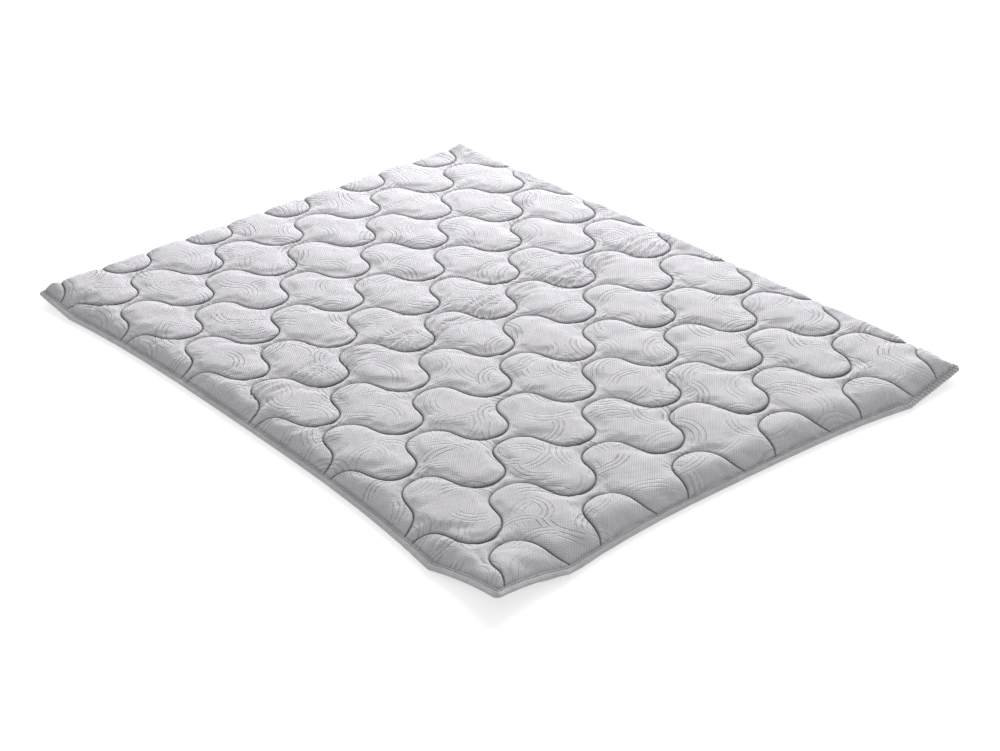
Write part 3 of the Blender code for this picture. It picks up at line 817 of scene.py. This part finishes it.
def knit_material(name, colour, patterned=True):
    m = principled(name, colour, 0.88, sheen=0.22)
    n = Nodes(m)
    at = n.place()
    s = n.split(at)
    # open knit: small cells on a diamond lattice, and the yarn's own fuzz
    a = n.math("SINE", n.math("MULTIPLY", s[0], TWO_PI / 0.0068))
    b = n.math("SINE", n.math("MULTIPLY", s[1], TWO_PI / 0.0076))
    cells = n.math("MULTIPLY", a, b)
    cells = n.span(cells, -0.55, 0.55)
    fine = n.math("MULTIPLY", n.math("SINE", n.math("MULTIPLY", s[0], TWO_PI / 0.0015)),
                  n.math("SINE", n.math("MULTIPLY", s[1], TWO_PI / 0.0019)))
    fuzz = n.noise(at, 900, 2, 0.6)
    height = n.math("ADD", n.math("MULTIPLY", cells, 0.62), n.math("MULTIPLY_ADD", fine, 0.10, n.math("MULTIPLY", fuzz, 0.26)))
    normal = n.bump(height, 0.0015, 0.80)
    # painted shade and highlight: the knit's hollows are darkened and its raised cells lightened, following the bump;
    # the noise adds random tone
    tone = n.math("MULTIPLY_ADD", n.span(n.noise(at, 300, 3, 0.6), 0.3, 0.7), 0.35, n.math("MULTIPLY", cells, 0.65))
    dark = tuple(c * 0.77 for c in colour)
    light = tuple(min(1, c * 1.12) for c in colour)
    base = n.mix(tone, dark, light)
    if patterned:
        flat = n.add("ShaderNodeCombineXYZ")
        n.link(s[0], flat.inputs[0])
        n.link(s[1], flat.inputs[1])
        one, one_there = swirls(n, flat.outputs[0], 8.6, (3.13, 7.71, 0), 0.0122, 0.4)
        two, two_there = swirls(n, flat.outputs[0], 7.2, (11.37, 2.93, 0), 0.0138, 2.1)
        two = n.math("MULTIPLY", two, n.math("SUBTRACT", 1.0, n.math("MINIMUM", n.math("MULTIPLY", one_there, 3.0), 1.0)))
        both = n.math("MAXIMUM", one, two)
        normal = n.bump(n.math("MULTIPLY", both, -1.0), 0.0028, 1.0, after=normal)
        # painted shade: the base colour is darkened in the bottom of the sunk arcs
        base = n.mix(n.math("MULTIPLY", both, 0.24), base, tuple(c * 0.76 for c in colour))
        # inside a group the ground is knitted closer and looks a little lighter
        there = n.math("MAXIMUM", one_there, two_there)
        base = n.mix(n.math("MULTIPLY", there, 0.22), base, light)
    cloud = n.noise(at, 9, 3, 0.55)
    base = n.mix(n.math("MULTIPLY", n.span(cloud, 0.35, 0.75), 0.30), base, tuple(c * f for c, f in zip(colour, (0.955, 0.955, 0.97))))
    # painted shade in the bottom of a stitched groove, where the fabric folds on itself: the base colour is darkened
    # there
    groove = n.add("ShaderNodeAttribute", attribute_name="groove").outputs["Fac"]
    base = n.mix(n.math("MULTIPLY", groove, 0.95), base, tuple(c * 0.14 for c in colour))
    n.link(base, n.shader.inputs["Base Color"])
    n.link(normal, n.shader.inputs["Normal"])
    return m


def tape_material():
    colour = (0.442, 0.432, 0.453)
    m = principled("binding_tape", colour, 0.62, sheen=0.15)
    n = Nodes(m)
    at = n.place()
    s = n.split(at)
    a = n.math("SINE", n.math("MULTIPLY", n.math("ADD", s[0], s[1]), TWO_PI / 0.0013))
    b = n.math("SINE", n.math("MULTIPLY", n.math("SUBTRACT", s[0], s[1]), TWO_PI / 0.0013))
    weave = n.math("MULTIPLY_ADD", n.math("MULTIPLY", a, b), 0.5, 0.5)
    fuzz = n.noise(at, 700, 3, 0.6)
    n.link(n.bump(n.math("ADD", weave, fuzz), 0.0004, 0.6), n.shader.inputs["Normal"])
    base = n.mix(n.span(n.noise(at, 45, 3), 0.3, 0.7), tuple(c * 0.92 for c in colour), tuple(c * 1.06 for c in colour))
    # painted shade on the tape: darker between its puckers and in the dip of its stitching
    painted_tape_shade = n.add("ShaderNodeAttribute", attribute_name="painted_tape_shade").outputs["Fac"]
    n.link(n.mix(n.math("MULTIPLY", painted_tape_shade, 0.85), base, tuple(c * 0.30 for c in colour)), n.shader.inputs["Base Color"])
    return m


def thread_material():
    colour = (0.20, 0.20, 0.215)
    m = principled("sewing_thread", colour, 0.55, sheen=0.2)
    n = Nodes(m)
    at = n.place()
    n.link(n.bump(n.noise(at, 2500, 2), 0.0002, 0.5), n.shader.inputs["Normal"])
    n.link(n.mix(n.noise(at, 400, 2), tuple(c * 0.85 for c in colour), tuple(c * 1.1 for c in colour)), n.shader.inputs["Base Color"])
    return m


def elastic_material():
    colour = (0.62, 0.62, 0.62)
    m = principled("elastic_webbing", colour, 0.7, sheen=0.2)
    n = Nodes(m)
    at = n.place()
    s = n.split(at)
    a = n.math("SINE", n.math("MULTIPLY", n.math("ADD", s[0], s[1]), TWO_PI / 0.0024))
    b = n.math("SINE", n.math("MULTIPLY", n.math("SUBTRACT", s[0], s[1]), TWO_PI / 0.0024))
    rib = n.math("MAXIMUM", a, b)
    n.link(n.bump(rib, 0.0004, 0.8), n.shader.inputs["Normal"])
    n.link(n.mix(n.span(rib, -0.2, 1.0), tuple(c * 0.82 for c in colour), colour), n.shader.inputs["Base Color"])
    return m


def foam_material():
    colour = (0.86, 0.82, 0.68)
    m = principled("memory_foam", colour, 0.85)
    n = Nodes(m)
    at = n.place()
    cell = n.add("ShaderNodeTexVoronoi")
    n.link(at, cell.inputs["Vector"])
    cell.inputs["Scale"].default_value = 700
    n.link(n.bump(cell.outputs["Distance"], 0.0006, 0.7), n.shader.inputs["Normal"])
    n.link(n.mix(n.noise(at, 60, 4), tuple(c * 0.93 for c in colour), colour), n.shader.inputs["Base Color"])
    return m


KNIT = knit_material("knit_cover", (0.482, 0.470, 0.502))
BACKING = knit_material("underside_fabric", (0.46, 0.46, 0.48), patterned=False)
TAPE = tape_material()
THREAD = thread_material()
ELASTIC = elastic_material()
FOAM = foam_material()

# ============================================================ quilted top
grid_x, grid_y = warp(grid_u, grid_v)
grid_z = top_height(grid_u, grid_v, grid_d1, grid_d2, grid_s, grid_j)
grid_at = np.stack([grid_x, grid_y, grid_z], -1) + swell()
grid_body = np.clip(pad_height(grid_d1, grid_d2) * 1.7, 0, 1)
grid_slid = settle(grid_u, grid_v)
grid_at[..., 2] += crease_band(grid_u - grid_slid[0], grid_v - grid_slid[1]) * grid_body * rise_from_tape(edge_distance(grid_u, grid_v))
for at, to, arch, deep, wide in CORNER_CREASES:
    grid_at[..., 2] += (crease(grid_u, grid_v, at, to, arch, deep, wide) * grid_body
                        * smooth((edge_distance(grid_u, grid_v) - TAPE_IN) / 0.010))
grid_near = np.minimum(grid_d1, grid_d2)
grid_neck = np.exp(-((grid_d1 + grid_d2 - 0.027) / 0.016) ** 2)
# painted shade along the rows: darkest at each stitched row, spread wider at the necks where two rows almost touch, and
# along the tape's inner edge
grid_painted_shade = np.exp(-(grid_near / 0.0023) ** 2) + 0.34 * grid_neck * np.exp(-(grid_near / 0.0060) ** 2)
grid_painted_shade = np.clip(np.maximum(grid_painted_shade, 0.50 * np.exp(-((edge_distance(grid_u, grid_v) - TAPE_IN - 0.0008) / 0.0030) ** 2)), 0, 1)
# the rows' painted shade is weaker towards the back right corner
grid_painted_shade = grid_painted_shade * (1 - 0.30 * smooth((grid_u + grid_v - 0.3) / 1.2))
top_plan = plan_surface(grid_u, grid_v, np.concatenate([grid_at, grid_painted_shade[..., None]], -1))
quilt = closed_layer(
    "quilted_top",
    (top_plan, top_plan[2][:, :3]),
    coarse_plan(60, 84, lambda u, v: ramp(edge_distance(u, v), FOAM_EDGE, FOAM_TOP) + 0.0008 + corner_lift(u, v)
                 - thinned(edge_distance(u, v), 0.0026)),
    KNIT,
)
# the painted shade is stored as the groove attribute
groove = quilt.data.attributes.new("groove", "FLOAT", "POINT")
values = np.zeros(len(quilt.data.vertices), np.float32)
values[:len(top_plan[2])] = top_plan[2][:, 3]
groove.data.foreach_set("value", values)
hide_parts("knitted_top_cover", "fibre_wadding")
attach(quilt, "topper")

# ============================================================ underside
rows = np.unique(np.concatenate([np.where(grid_k[:, 0] % 3 == 0)[0], [0, grid_u.shape[0] - 1]]))
cols = np.unique(np.concatenate([np.arange(0, grid_u.shape[1], 2), [grid_u.shape[1] - 1]]))
pick = np.ix_(rows, cols)
under_u, under_v = grid_u[pick], grid_v[pick]
underside = closed_layer(
    "underside_cloth",
    coarse_plan(60, 84, lambda u, v: ramp(edge_distance(u, v), UNDER_EDGE, 0.0) + FABRIC + 0.0022 + corner_lift(u, v)),
    standing(plan_surface(under_u, under_v, under_height(under_u, under_v, grid_d1[pick], grid_d2[pick]))),
    BACKING,
)
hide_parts("underside_fabric")
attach(underside, "topper")

# ============================================================ foam
foam = closed_layer(
    "foam_sheet",
    coarse_plan(72, 100, lambda u, v: ramp(edge_distance(u, v), FOAM_EDGE, FOAM_TOP) + corner_lift(u, v) - thinned(edge_distance(u, v), 0.0026)
                + 0.0003 * value_noise(u, v, 0.12, 61)),
    coarse_plan(72, 100, lambda u, v: ramp(edge_distance(u, v), UNDER_EDGE, 0.0) + FABRIC + 0.0025 + corner_lift(u, v)),
    FOAM,
)
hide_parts("memory_foam_core")
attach(foam, "topper")


# ============================================================ binding
def rim_stations(spacing):
    """(u, v) and outward direction round the plan, with rounded tips."""
    points = []

    def run(a, b):
        length = math.hypot(b[0] - a[0], b[1] - a[1])
        count = max(2, round(length / spacing))
        for i in range(count):
            t = i / count
            points.append((a[0] + (b[0] - a[0]) * t, a[1] + (b[1] - a[1]) * t))
    w, l, r = HALF_W, HALF_L, CORNER_R
    for a, b, mid in (((-w + r, -l), (w - r, -l), (w - r, -l + r)),
                      ((w, -l + r), (w, l - r), (w - r, l - r)),
                      ((w - r, l), (-w + r, l), (-w + r, l - r)),
                      ((-w, l - r), (-w, -l + r), (-w + r, -l + r))):
        run(a, b)
        start = math.atan2(b[1] - mid[1], b[0] - mid[0])
        for i in range(10):
            angle = start + math.pi / 2 * i / 10
            points.append((mid[0] + r * math.cos(angle), mid[1] + r * math.sin(angle)))
    p = np.array(points)
    near = np.stack([np.clip(p[:, 0], -w + r, w - r), np.clip(p[:, 1], -l + r, l - r)], 1)
    n = p - near
    n /= np.linalg.norm(n, axis=1)[:, None]
    return p, n


rim_p, rim_n = rim_stations(0.0026)
rim_s = np.concatenate([[0], np.cumsum(np.hypot(*np.diff(rim_p, axis=0).T))])
rim_lift = corner_lift(rim_p[:, 0], rim_p[:, 1])

# 1 where a quilting row runs out through the edge, fading over about a centimetre
rim_d1, rim_d2, _, _ = pattern_at(rim_p[:, 0] * (1 - 0.010 / HALF_W), rim_p[:, 1] * (1 - 0.010 / HALF_L))
rim_pinch = np.exp(-(np.minimum(rim_d1, rim_d2) / 0.011) ** 2)
# the tape is sewn on with a little too much length in places, most near the front right corner
to_corner = np.hypot(rim_p[:, 0] - 0.60, rim_p[:, 1] + HALF_L)
loose = np.exp(-(to_corner / 0.12) ** 2)
ripple = value_noise(rim_s, 0 * rim_s, 0.012, 51)


def tape_line(inset, z, station_z=0.0):
    """Points of one line of the tape, all round. inset: how far in from the layers' edge."""
    u, v = rim_p[:, 0] - rim_n[:, 0] * inset, rim_p[:, 1] - rim_n[:, 1] * inset
    x, y = bow_only(u, v)
    return np.stack([x, y, z + station_z + rim_lift], 1)


def sewn(inset):
    return math.exp(-((inset - TAPE_SEWN) / 0.0014) ** 2)


def slant_wave(inset):
    return np.sin(TWO_PI * (rim_s + 0.9 * inset) / 0.0130 + 1.6 * value_noise(rim_s, 0 * rim_s, 0.05, 53))


def pucker(inset):
    """Slanting puckers of the tape between its stitches, strong where it is loose."""
    wave = slant_wave(inset)
    return wave * 0.00012 + (wave + 0.55) * 0.00215 * loose


def hollow(inset):
    """How deep a point lies between two puckers or under the stitching, from 0 to 1; it is painted on the tape as
    shade.
    """
    return np.clip(np.clip(-slant_wave(inset), 0, 1) * (0.05 + 0.52 * loose) + 0.34 * sewn(inset), 0, 1)


def tape_top(inset):
    """Tape's upper face: rounded nose, a dip where it is sewn, its inner edge lying on the cover."""
    free = 1 - sewn(inset)
    return (TAPE_HIGH - thinned(inset, TAPE_SLOPE) - 0.0010 * sewn(inset) - 0.0009 * rim_pinch * min(1, max(0, inset / 0.005))
            + 0.0003 * ripple * free + pucker(inset) * free * min(1, (inset + 0.002) / 0.004))


def tape_low(inset):
    return TAPE_LOW + 0.0006 * sewn(inset) + 0.0001 * ripple


def tape_mesh():
    nose = TAPE_HIGH - TAPE_SLOPE
    mid, half = (TAPE_LOW + nose) / 2, (nose - TAPE_LOW) / 2
    insets = [0.0103, 0.0096, 0.0088, 0.0082, 0.0077, 0.0072, 0.0063, 0.0052, 0.0040, 0.0028, 0.0016]
    lines = [tape_line(TAPE_IN, tape_top(TAPE_IN) - 0.0016)]
    lines += [tape_line(inset, tape_top(inset)) for inset in insets]
    for k in range(1, 12):
        angle = math.pi / 2 - math.pi * k / 12
        out = 0.0022 * math.cos(angle) ** 0.8
        # a faint groove along the middle of the fold, where the tape was pressed in half
        out -= 0.0006 * math.exp(-(angle / 0.22) ** 2)
        rise = half * math.sin(angle) * (1 - 0.10 * rim_pinch) + 0.0002 * ripple * math.cos(angle)
        if angle > 0:
            rise = rise + pucker(-out) * 0.5 * math.sin(angle)
        lines.append(tape_line(-out * (1 - 0.25 * rim_pinch) - (0.0003 * ripple + 0.7 * pucker(0.0)) * math.cos(angle), mid + rise))
    lines += [tape_line(inset, tape_low(inset)) for inset in insets[::-1]]
    lines.append(tape_line(TAPE_IN, tape_low(TAPE_IN) + 0.0014))
    # inner face of the fold
    for inset, z in ((0.0070, TAPE_LOW + 0.0016), (0.0006, TAPE_LOW + 0.0018), (0.0004, mid),
                     (0.0006, nose - 0.0022), (0.0070, TAPE_HIGH - 0.0034)):
        lines.append(tape_line(inset, z + 0 * ripple))
    grid = np.stack(lines, 0)                      # line, station, xyz
    # painted shade on the tape: darker between the puckers and in the stitching's dip, fainter over most of its rounded
    # nose
    shade = np.zeros(grid.shape[:2], np.float32)
    for k, inset in enumerate([TAPE_IN] + insets + [0.0] * 11):
        shade[k] = hollow(inset) * (1.0 if k < 14 else 0.45)
    index = np.arange(grid.shape[0] * grid.shape[1]).reshape(grid.shape[:2])
    a, b = index, np.roll(index, -1, 1)
    c, d = np.roll(np.roll(index, -1, 0), -1, 1), np.roll(index, -1, 0)
    quads = np.stack([a.ravel(), b.ravel(), c.ravel(), d.ravel()], 1)
    return new_object("bound_edge", grid.reshape(-1, 3), quads, TAPE), shade


tape, tape_shade = tape_mesh()
tape = tidy(tape)
tape.data.attributes.new("painted_tape_shade", "FLOAT", "POINT").data.foreach_set("value", tape_shade.ravel())
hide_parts("edge_binding")
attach(tape, "topper")


# ============================================================ stitches
def stitches(name, paths, ups, mat, pitch=0.005, length=0.0040, radius=0.00055, arch=0.0004):
    """Short rounded stitches laid end to end along each path. ups: height direction, +1 or -1."""
    verts, faces, base = [], [], 0
    sides = 6
    angles = np.arange(sides) * TWO_PI / sides
    for path in paths:
        seg = np.linalg.norm(np.diff(path, axis=0), axis=1)
        s = np.concatenate([[0], np.cumsum(seg)])
        count = max(1, int(s[-1] / pitch))
        centres = (np.arange(count) + 0.5) * s[-1] / count

        def at(q):
            return np.stack([np.interp(q, s, path[:, k]) for k in range(3)], 1)
        p0, p1 = at(centres - length / 2), at(centres + length / 2)
        t = p1 - p0
        t /= np.linalg.norm(t, axis=1)[:, None]
        side = np.cross(t, np.array([0, 0, 1.0]))
        side /= np.linalg.norm(side, axis=1)[:, None]
        up = np.cross(side, t)
        rings = []
        for place, r in ((0.16, 0.80), (0.50, 1.0), (0.84, 0.80)):
            c = p0 + (p1 - p0) * place + ups * up * arch * (1.0 if place == 0.5 else 0.55)
            rings.append(c[:, None, :] + r * radius * (np.cos(angles)[None, :, None] * side[:, None, :]
                                                      + np.sin(angles)[None, :, None] * up[:, None, :]))
        ends = [p0[:, None, :] - ups * up[:, None, :] * radius * 0.6, p1[:, None, :] - ups * up[:, None, :] * radius * 0.6]
        block = np.concatenate([ends[0], rings[0], rings[1], rings[2], ends[1]], 1)   # count, 2 + 3 sides, 3
        per = block.shape[1]
        verts.append(block.reshape(-1, 3))
        f = []
        for i in range(sides):
            n = (i + 1) % sides
            f.append((0, 1 + n, 1 + i))
            for ring in (0, 1):
                lo, hi = 1 + ring * sides, 1 + (ring + 1) * sides
                f.append((lo + i, lo + n, hi + n))
                f.append((lo + i, hi + n, hi + i))
            last = 1 + 2 * sides
            f.append((last + i, last + n, per - 1))
        f = np.array(f)
        faces.append((f[None] + (base + np.arange(count) * per)[:, None, None]).reshape(-1, 3))
        base += count * per
    return new_object(name, np.concatenate(verts), np.concatenate(faces)[:, ::-1], mat)


def row_runs(j, clear):
    """Stretches of row j inside the tape, as arrays of u and v."""
    fine = np.linspace(phase_low - 0.8, phase_high + 0.8, 2800)
    u, v = drawn_out(row_x(fine), row_y(j, fine))
    inside = (np.abs(u) < HALF_W - clear) & (np.abs(v) < HALF_L - clear)
    runs, start = [], None
    for i, ok in enumerate(inside):
        if ok and start is None:
            start = i
        if start is not None and (not ok or i == len(inside) - 1):
            if u[i - 1] - u[start] > 0.05:
                runs.append((u[start:i], v[start:i]))
            start = None
    return runs


def row_path(u, v, rule):
    x, y = warp(u, v)
    return np.stack([x, y, rule(u, v)], 1)


def seam_under(u, v):
    d = edge_distance(u, v)
    return ramp(d, UNDER_EDGE, 0.0) + corner_lift(u, v) + 0.0022 * np.clip(d / 0.05, 0.2, 1) - 0.0003


cad_rows = [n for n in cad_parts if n.startswith("quilting_thread_")]
bobbin_paths = []
for j in range(FIRST_ROW, LAST_ROW + 2):
    number = j - FIRST_ROW + 1
    stands_for = sorted(n for n in cad_rows if n.startswith(f"quilting_thread_{number:02d}"))
    runs = row_runs(j, TAPE_IN + 0.0015)
    bobbin_paths += [row_path(u, v, seam_under) for u, v in runs]
    if not stands_for or not runs:
        continue
    row = stitches(f"stitch_row_{number:02d}", [row_path(u, v, lambda u, v: seam_level(u, v) + 0.0005) for u, v in runs], 1, THREAD)
    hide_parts(*stands_for)
    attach(row, "topper")

bobbin = stitches("underside_stitch_rows", bobbin_paths, -1, THREAD, pitch=0.005, length=0.0036, radius=0.00042)
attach(bobbin, "topper")


def rim_path(inset, z):
    path = tape_line(inset, z)
    return np.concatenate([path, path[:1]])


top_line = stitches("binding_stitches", [rim_path(TAPE_SEWN, tape_top(TAPE_SEWN))], 1, THREAD,
                    pitch=0.0045, length=0.0035, radius=0.00045, arch=0.0005)
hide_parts("binding_stitch_line")
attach(top_line, "topper")
low_line = stitches("binding_stitches_under", [rim_path(TAPE_SEWN, tape_low(TAPE_SEWN))], -1, THREAD,
                    pitch=0.0045, length=0.0035, radius=0.00045, arch=0.0003)
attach(low_line, "topper")


# ============================================================ elastic corner bands
def underside_at(x, y):
    """Height of the underside over a place on the floor."""
    u, v = x - CENTRE[0], y - CENTRE[1]
    for _ in range(8):
        wx, wy = bow_only(u, v)
        u, v = u - (wx - x), v - (wy - y)
    return ramp(edge_distance(u, v), UNDER_EDGE, 0.0) + corner_lift(u, v)


def band_piece(corner):
    sx, sy, kink_x, kink_y = CORNERS[corner][:4]
    cx = sx * (HALF_W + kink_x - STRAP_IN - STRAP_R) + CENTRE[0]
    cy = sy * (HALF_L + kink_y - STRAP_IN - STRAP_R) + CENTRE[1]
    out = np.array([sx, sy]) / math.sqrt(2)
    along = np.array([out[1], -out[0]])
    depth = STRAP_R / math.sqrt(2)
    tab_turn = 0.032 / STRAP_R
    a_end = math.pi / 4 + tab_turn
    steps = 132
    angles = np.linspace(-a_end, a_end, steps)
    # across the webbing: rounded edges, a little thicker in the middle
    half, thick = STRAP_W / 2, 0.0006
    section = [(-half, 0), (-half + 0.0008, thick), (-half * 0.5, thick * 1.05), (0, thick * 1.1), (half * 0.5, thick * 1.05),
               (half - 0.0008, thick), (half, 0), (half - 0.0008, -thick), (half * 0.5, -thick), (0, -thick),
               (-half * 0.5, -thick), (-half + 0.0008, -thick)]

    def band_rise(p):
        """How far a sewn end is up, to lie against the fabric."""
        return max(0.0, float(underside_at(p[0], p[1])) - 0.0008 - thick - 0.0002)

    rings = []
    for angle in angles:
        # the free stretch lies on the floor, the sewn ends climb to the fabric
        local_y = STRAP_R * math.cos(angle) - depth
        sewn_down = 1 - smooth((local_y + 0.006) / 0.014)
        ring = []
        for w, t in section:
            r = STRAP_R + w
            p = np.array([cx, cy]) + along * r * math.sin(angle) + out * r * math.cos(angle)
            z_mid = 0.0008 + 0.00004 * math.sin(angle * 90)
            if sewn_down > 0:
                z_mid += band_rise(p) * float(sewn_down)
            ring.append((p[0], p[1], z_mid + t))
        rings.append(ring)
    grid = np.array(rings)
    count, per = grid.shape[:2]
    index = np.arange(count * per).reshape(count, per)
    a, b = index[:-1], np.roll(index, -1, 1)[:-1]
    c, d = np.roll(index, -1, 1)[1:], index[1:]
    quads = np.stack([a.ravel(), b.ravel(), c.ravel(), d.ravel()], 1)
    caps = []
    for ring_i, order in ((0, 1), (count - 1, -1)):
        ids = index[ring_i][::order]
        caps += [(ids[0], ids[k], ids[k + 1]) for k in range(1, per - 1)]
    ob = tidy(new_object(f"elastic_band_{corner}", grid.reshape(-1, 3), [quads, np.array(caps)], ELASTIC))
    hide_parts(f"corner_band_{corner}", f"band_end_{corner}_a", f"band_end_{corner}_b")
    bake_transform(ob)
    # a dense zigzag of thread over each sewn end
    paths = []
    for side in (-1, 1):
        points = []
        for k in range(17):
            angle = side * (math.pi / 4 + tab_turn * (0.50 + 0.22 * k / 16))
            r = STRAP_R + (half - 0.003) * (1 if k % 2 else -1)
            p = np.array([cx, cy]) + along * r * math.sin(angle) + out * r * math.cos(angle)
            points.append((p[0], p[1], 0.0002 + band_rise(p)))
        paths.append(np.array(points))
    tack = stitches(f"bar_tacks_{corner}", paths, -1, THREAD, pitch=0.0045, length=0.0046, radius=0.0004, arch=0.0001)
    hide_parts(f"bar_tack_{corner}_a", f"bar_tack_{corner}_b")
    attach(tack, "topper")
    return ob


for corner in CORNERS:
    band_piece(corner)

# ============================================================ stage
bpy.ops.mesh.primitive_plane_add(size=60, location=(0, 0, -0.0004))
floor = bpy.context.object
floor.name = "floor"
paper = principled("floor_paper", (0.50, 0.50, 0.50), 0.9)
paper.node_tree.nodes["Principled BSDF"].inputs["Emission Color"].default_value = (1, 1, 1, 1)
paper.node_tree.nodes["Principled BSDF"].inputs["Emission Strength"].default_value = 0.60
floor.data.materials.append(paper)

scene = bpy.context.scene
scene.view_settings.view_transform = "Standard"
world = bpy.data.worlds.new("studio")
scene.world = world
world.use_nodes = True
world.node_tree.nodes["Background"].inputs[0].default_value = (1, 1, 1, 1)
world.node_tree.nodes["Background"].inputs[1].default_value = 0.64


def soft_light(name, place, aim, size, power):
    data = bpy.data.lights.new(name, "AREA")
    data.shape = "RECTANGLE"
    data.size, data.size_y = size
    data.energy = power
    ob = bpy.data.objects.new(name, data)
    scene.collection.objects.link(ob)
    ob.location = place
    ob.rotation_euler = (Vector(aim) - Vector(place)).to_track_quat("-Z", "Y").to_euler()
    return ob


soft_light("back_light", (2.64, 1.95, 1.98), (0.0, 0.0, 0), (3.0, 2.0), 208)
soft_light("low_light", (10.7, 10.7, 3.15), (0.0, 0.0, 0), (7.5, 1.5), 2050)

camera_data = bpy.data.cameras.new("camera")
camera_data.sensor_fit = "HORIZONTAL"
camera_data.sensor_width = 36.0
camera_data.lens = 2199.404 / 1000 * 36.0
camera_data.clip_end = 100
camera = bpy.data.objects.new("camera", camera_data)
scene.collection.objects.link(camera)
right = Vector((0.79212674, -0.60720598, -0.06193653))
up = Vector((0.32757477, 0.33731208, 0.8825618))
forward = Vector((0.51500486, 0.71938964, -0.46609928))
camera.matrix_world = Matrix((
    (right.x, up.x, -forward.x, -2.82036526 + CENTRE[0]),
    (right.y, up.y, -forward.y, -4.02283116 + CENTRE[1]),
    (right.z, up.z, -forward.z, 2.46019611),
    (0, 0, 0, 1),
))
scene.camera = camera
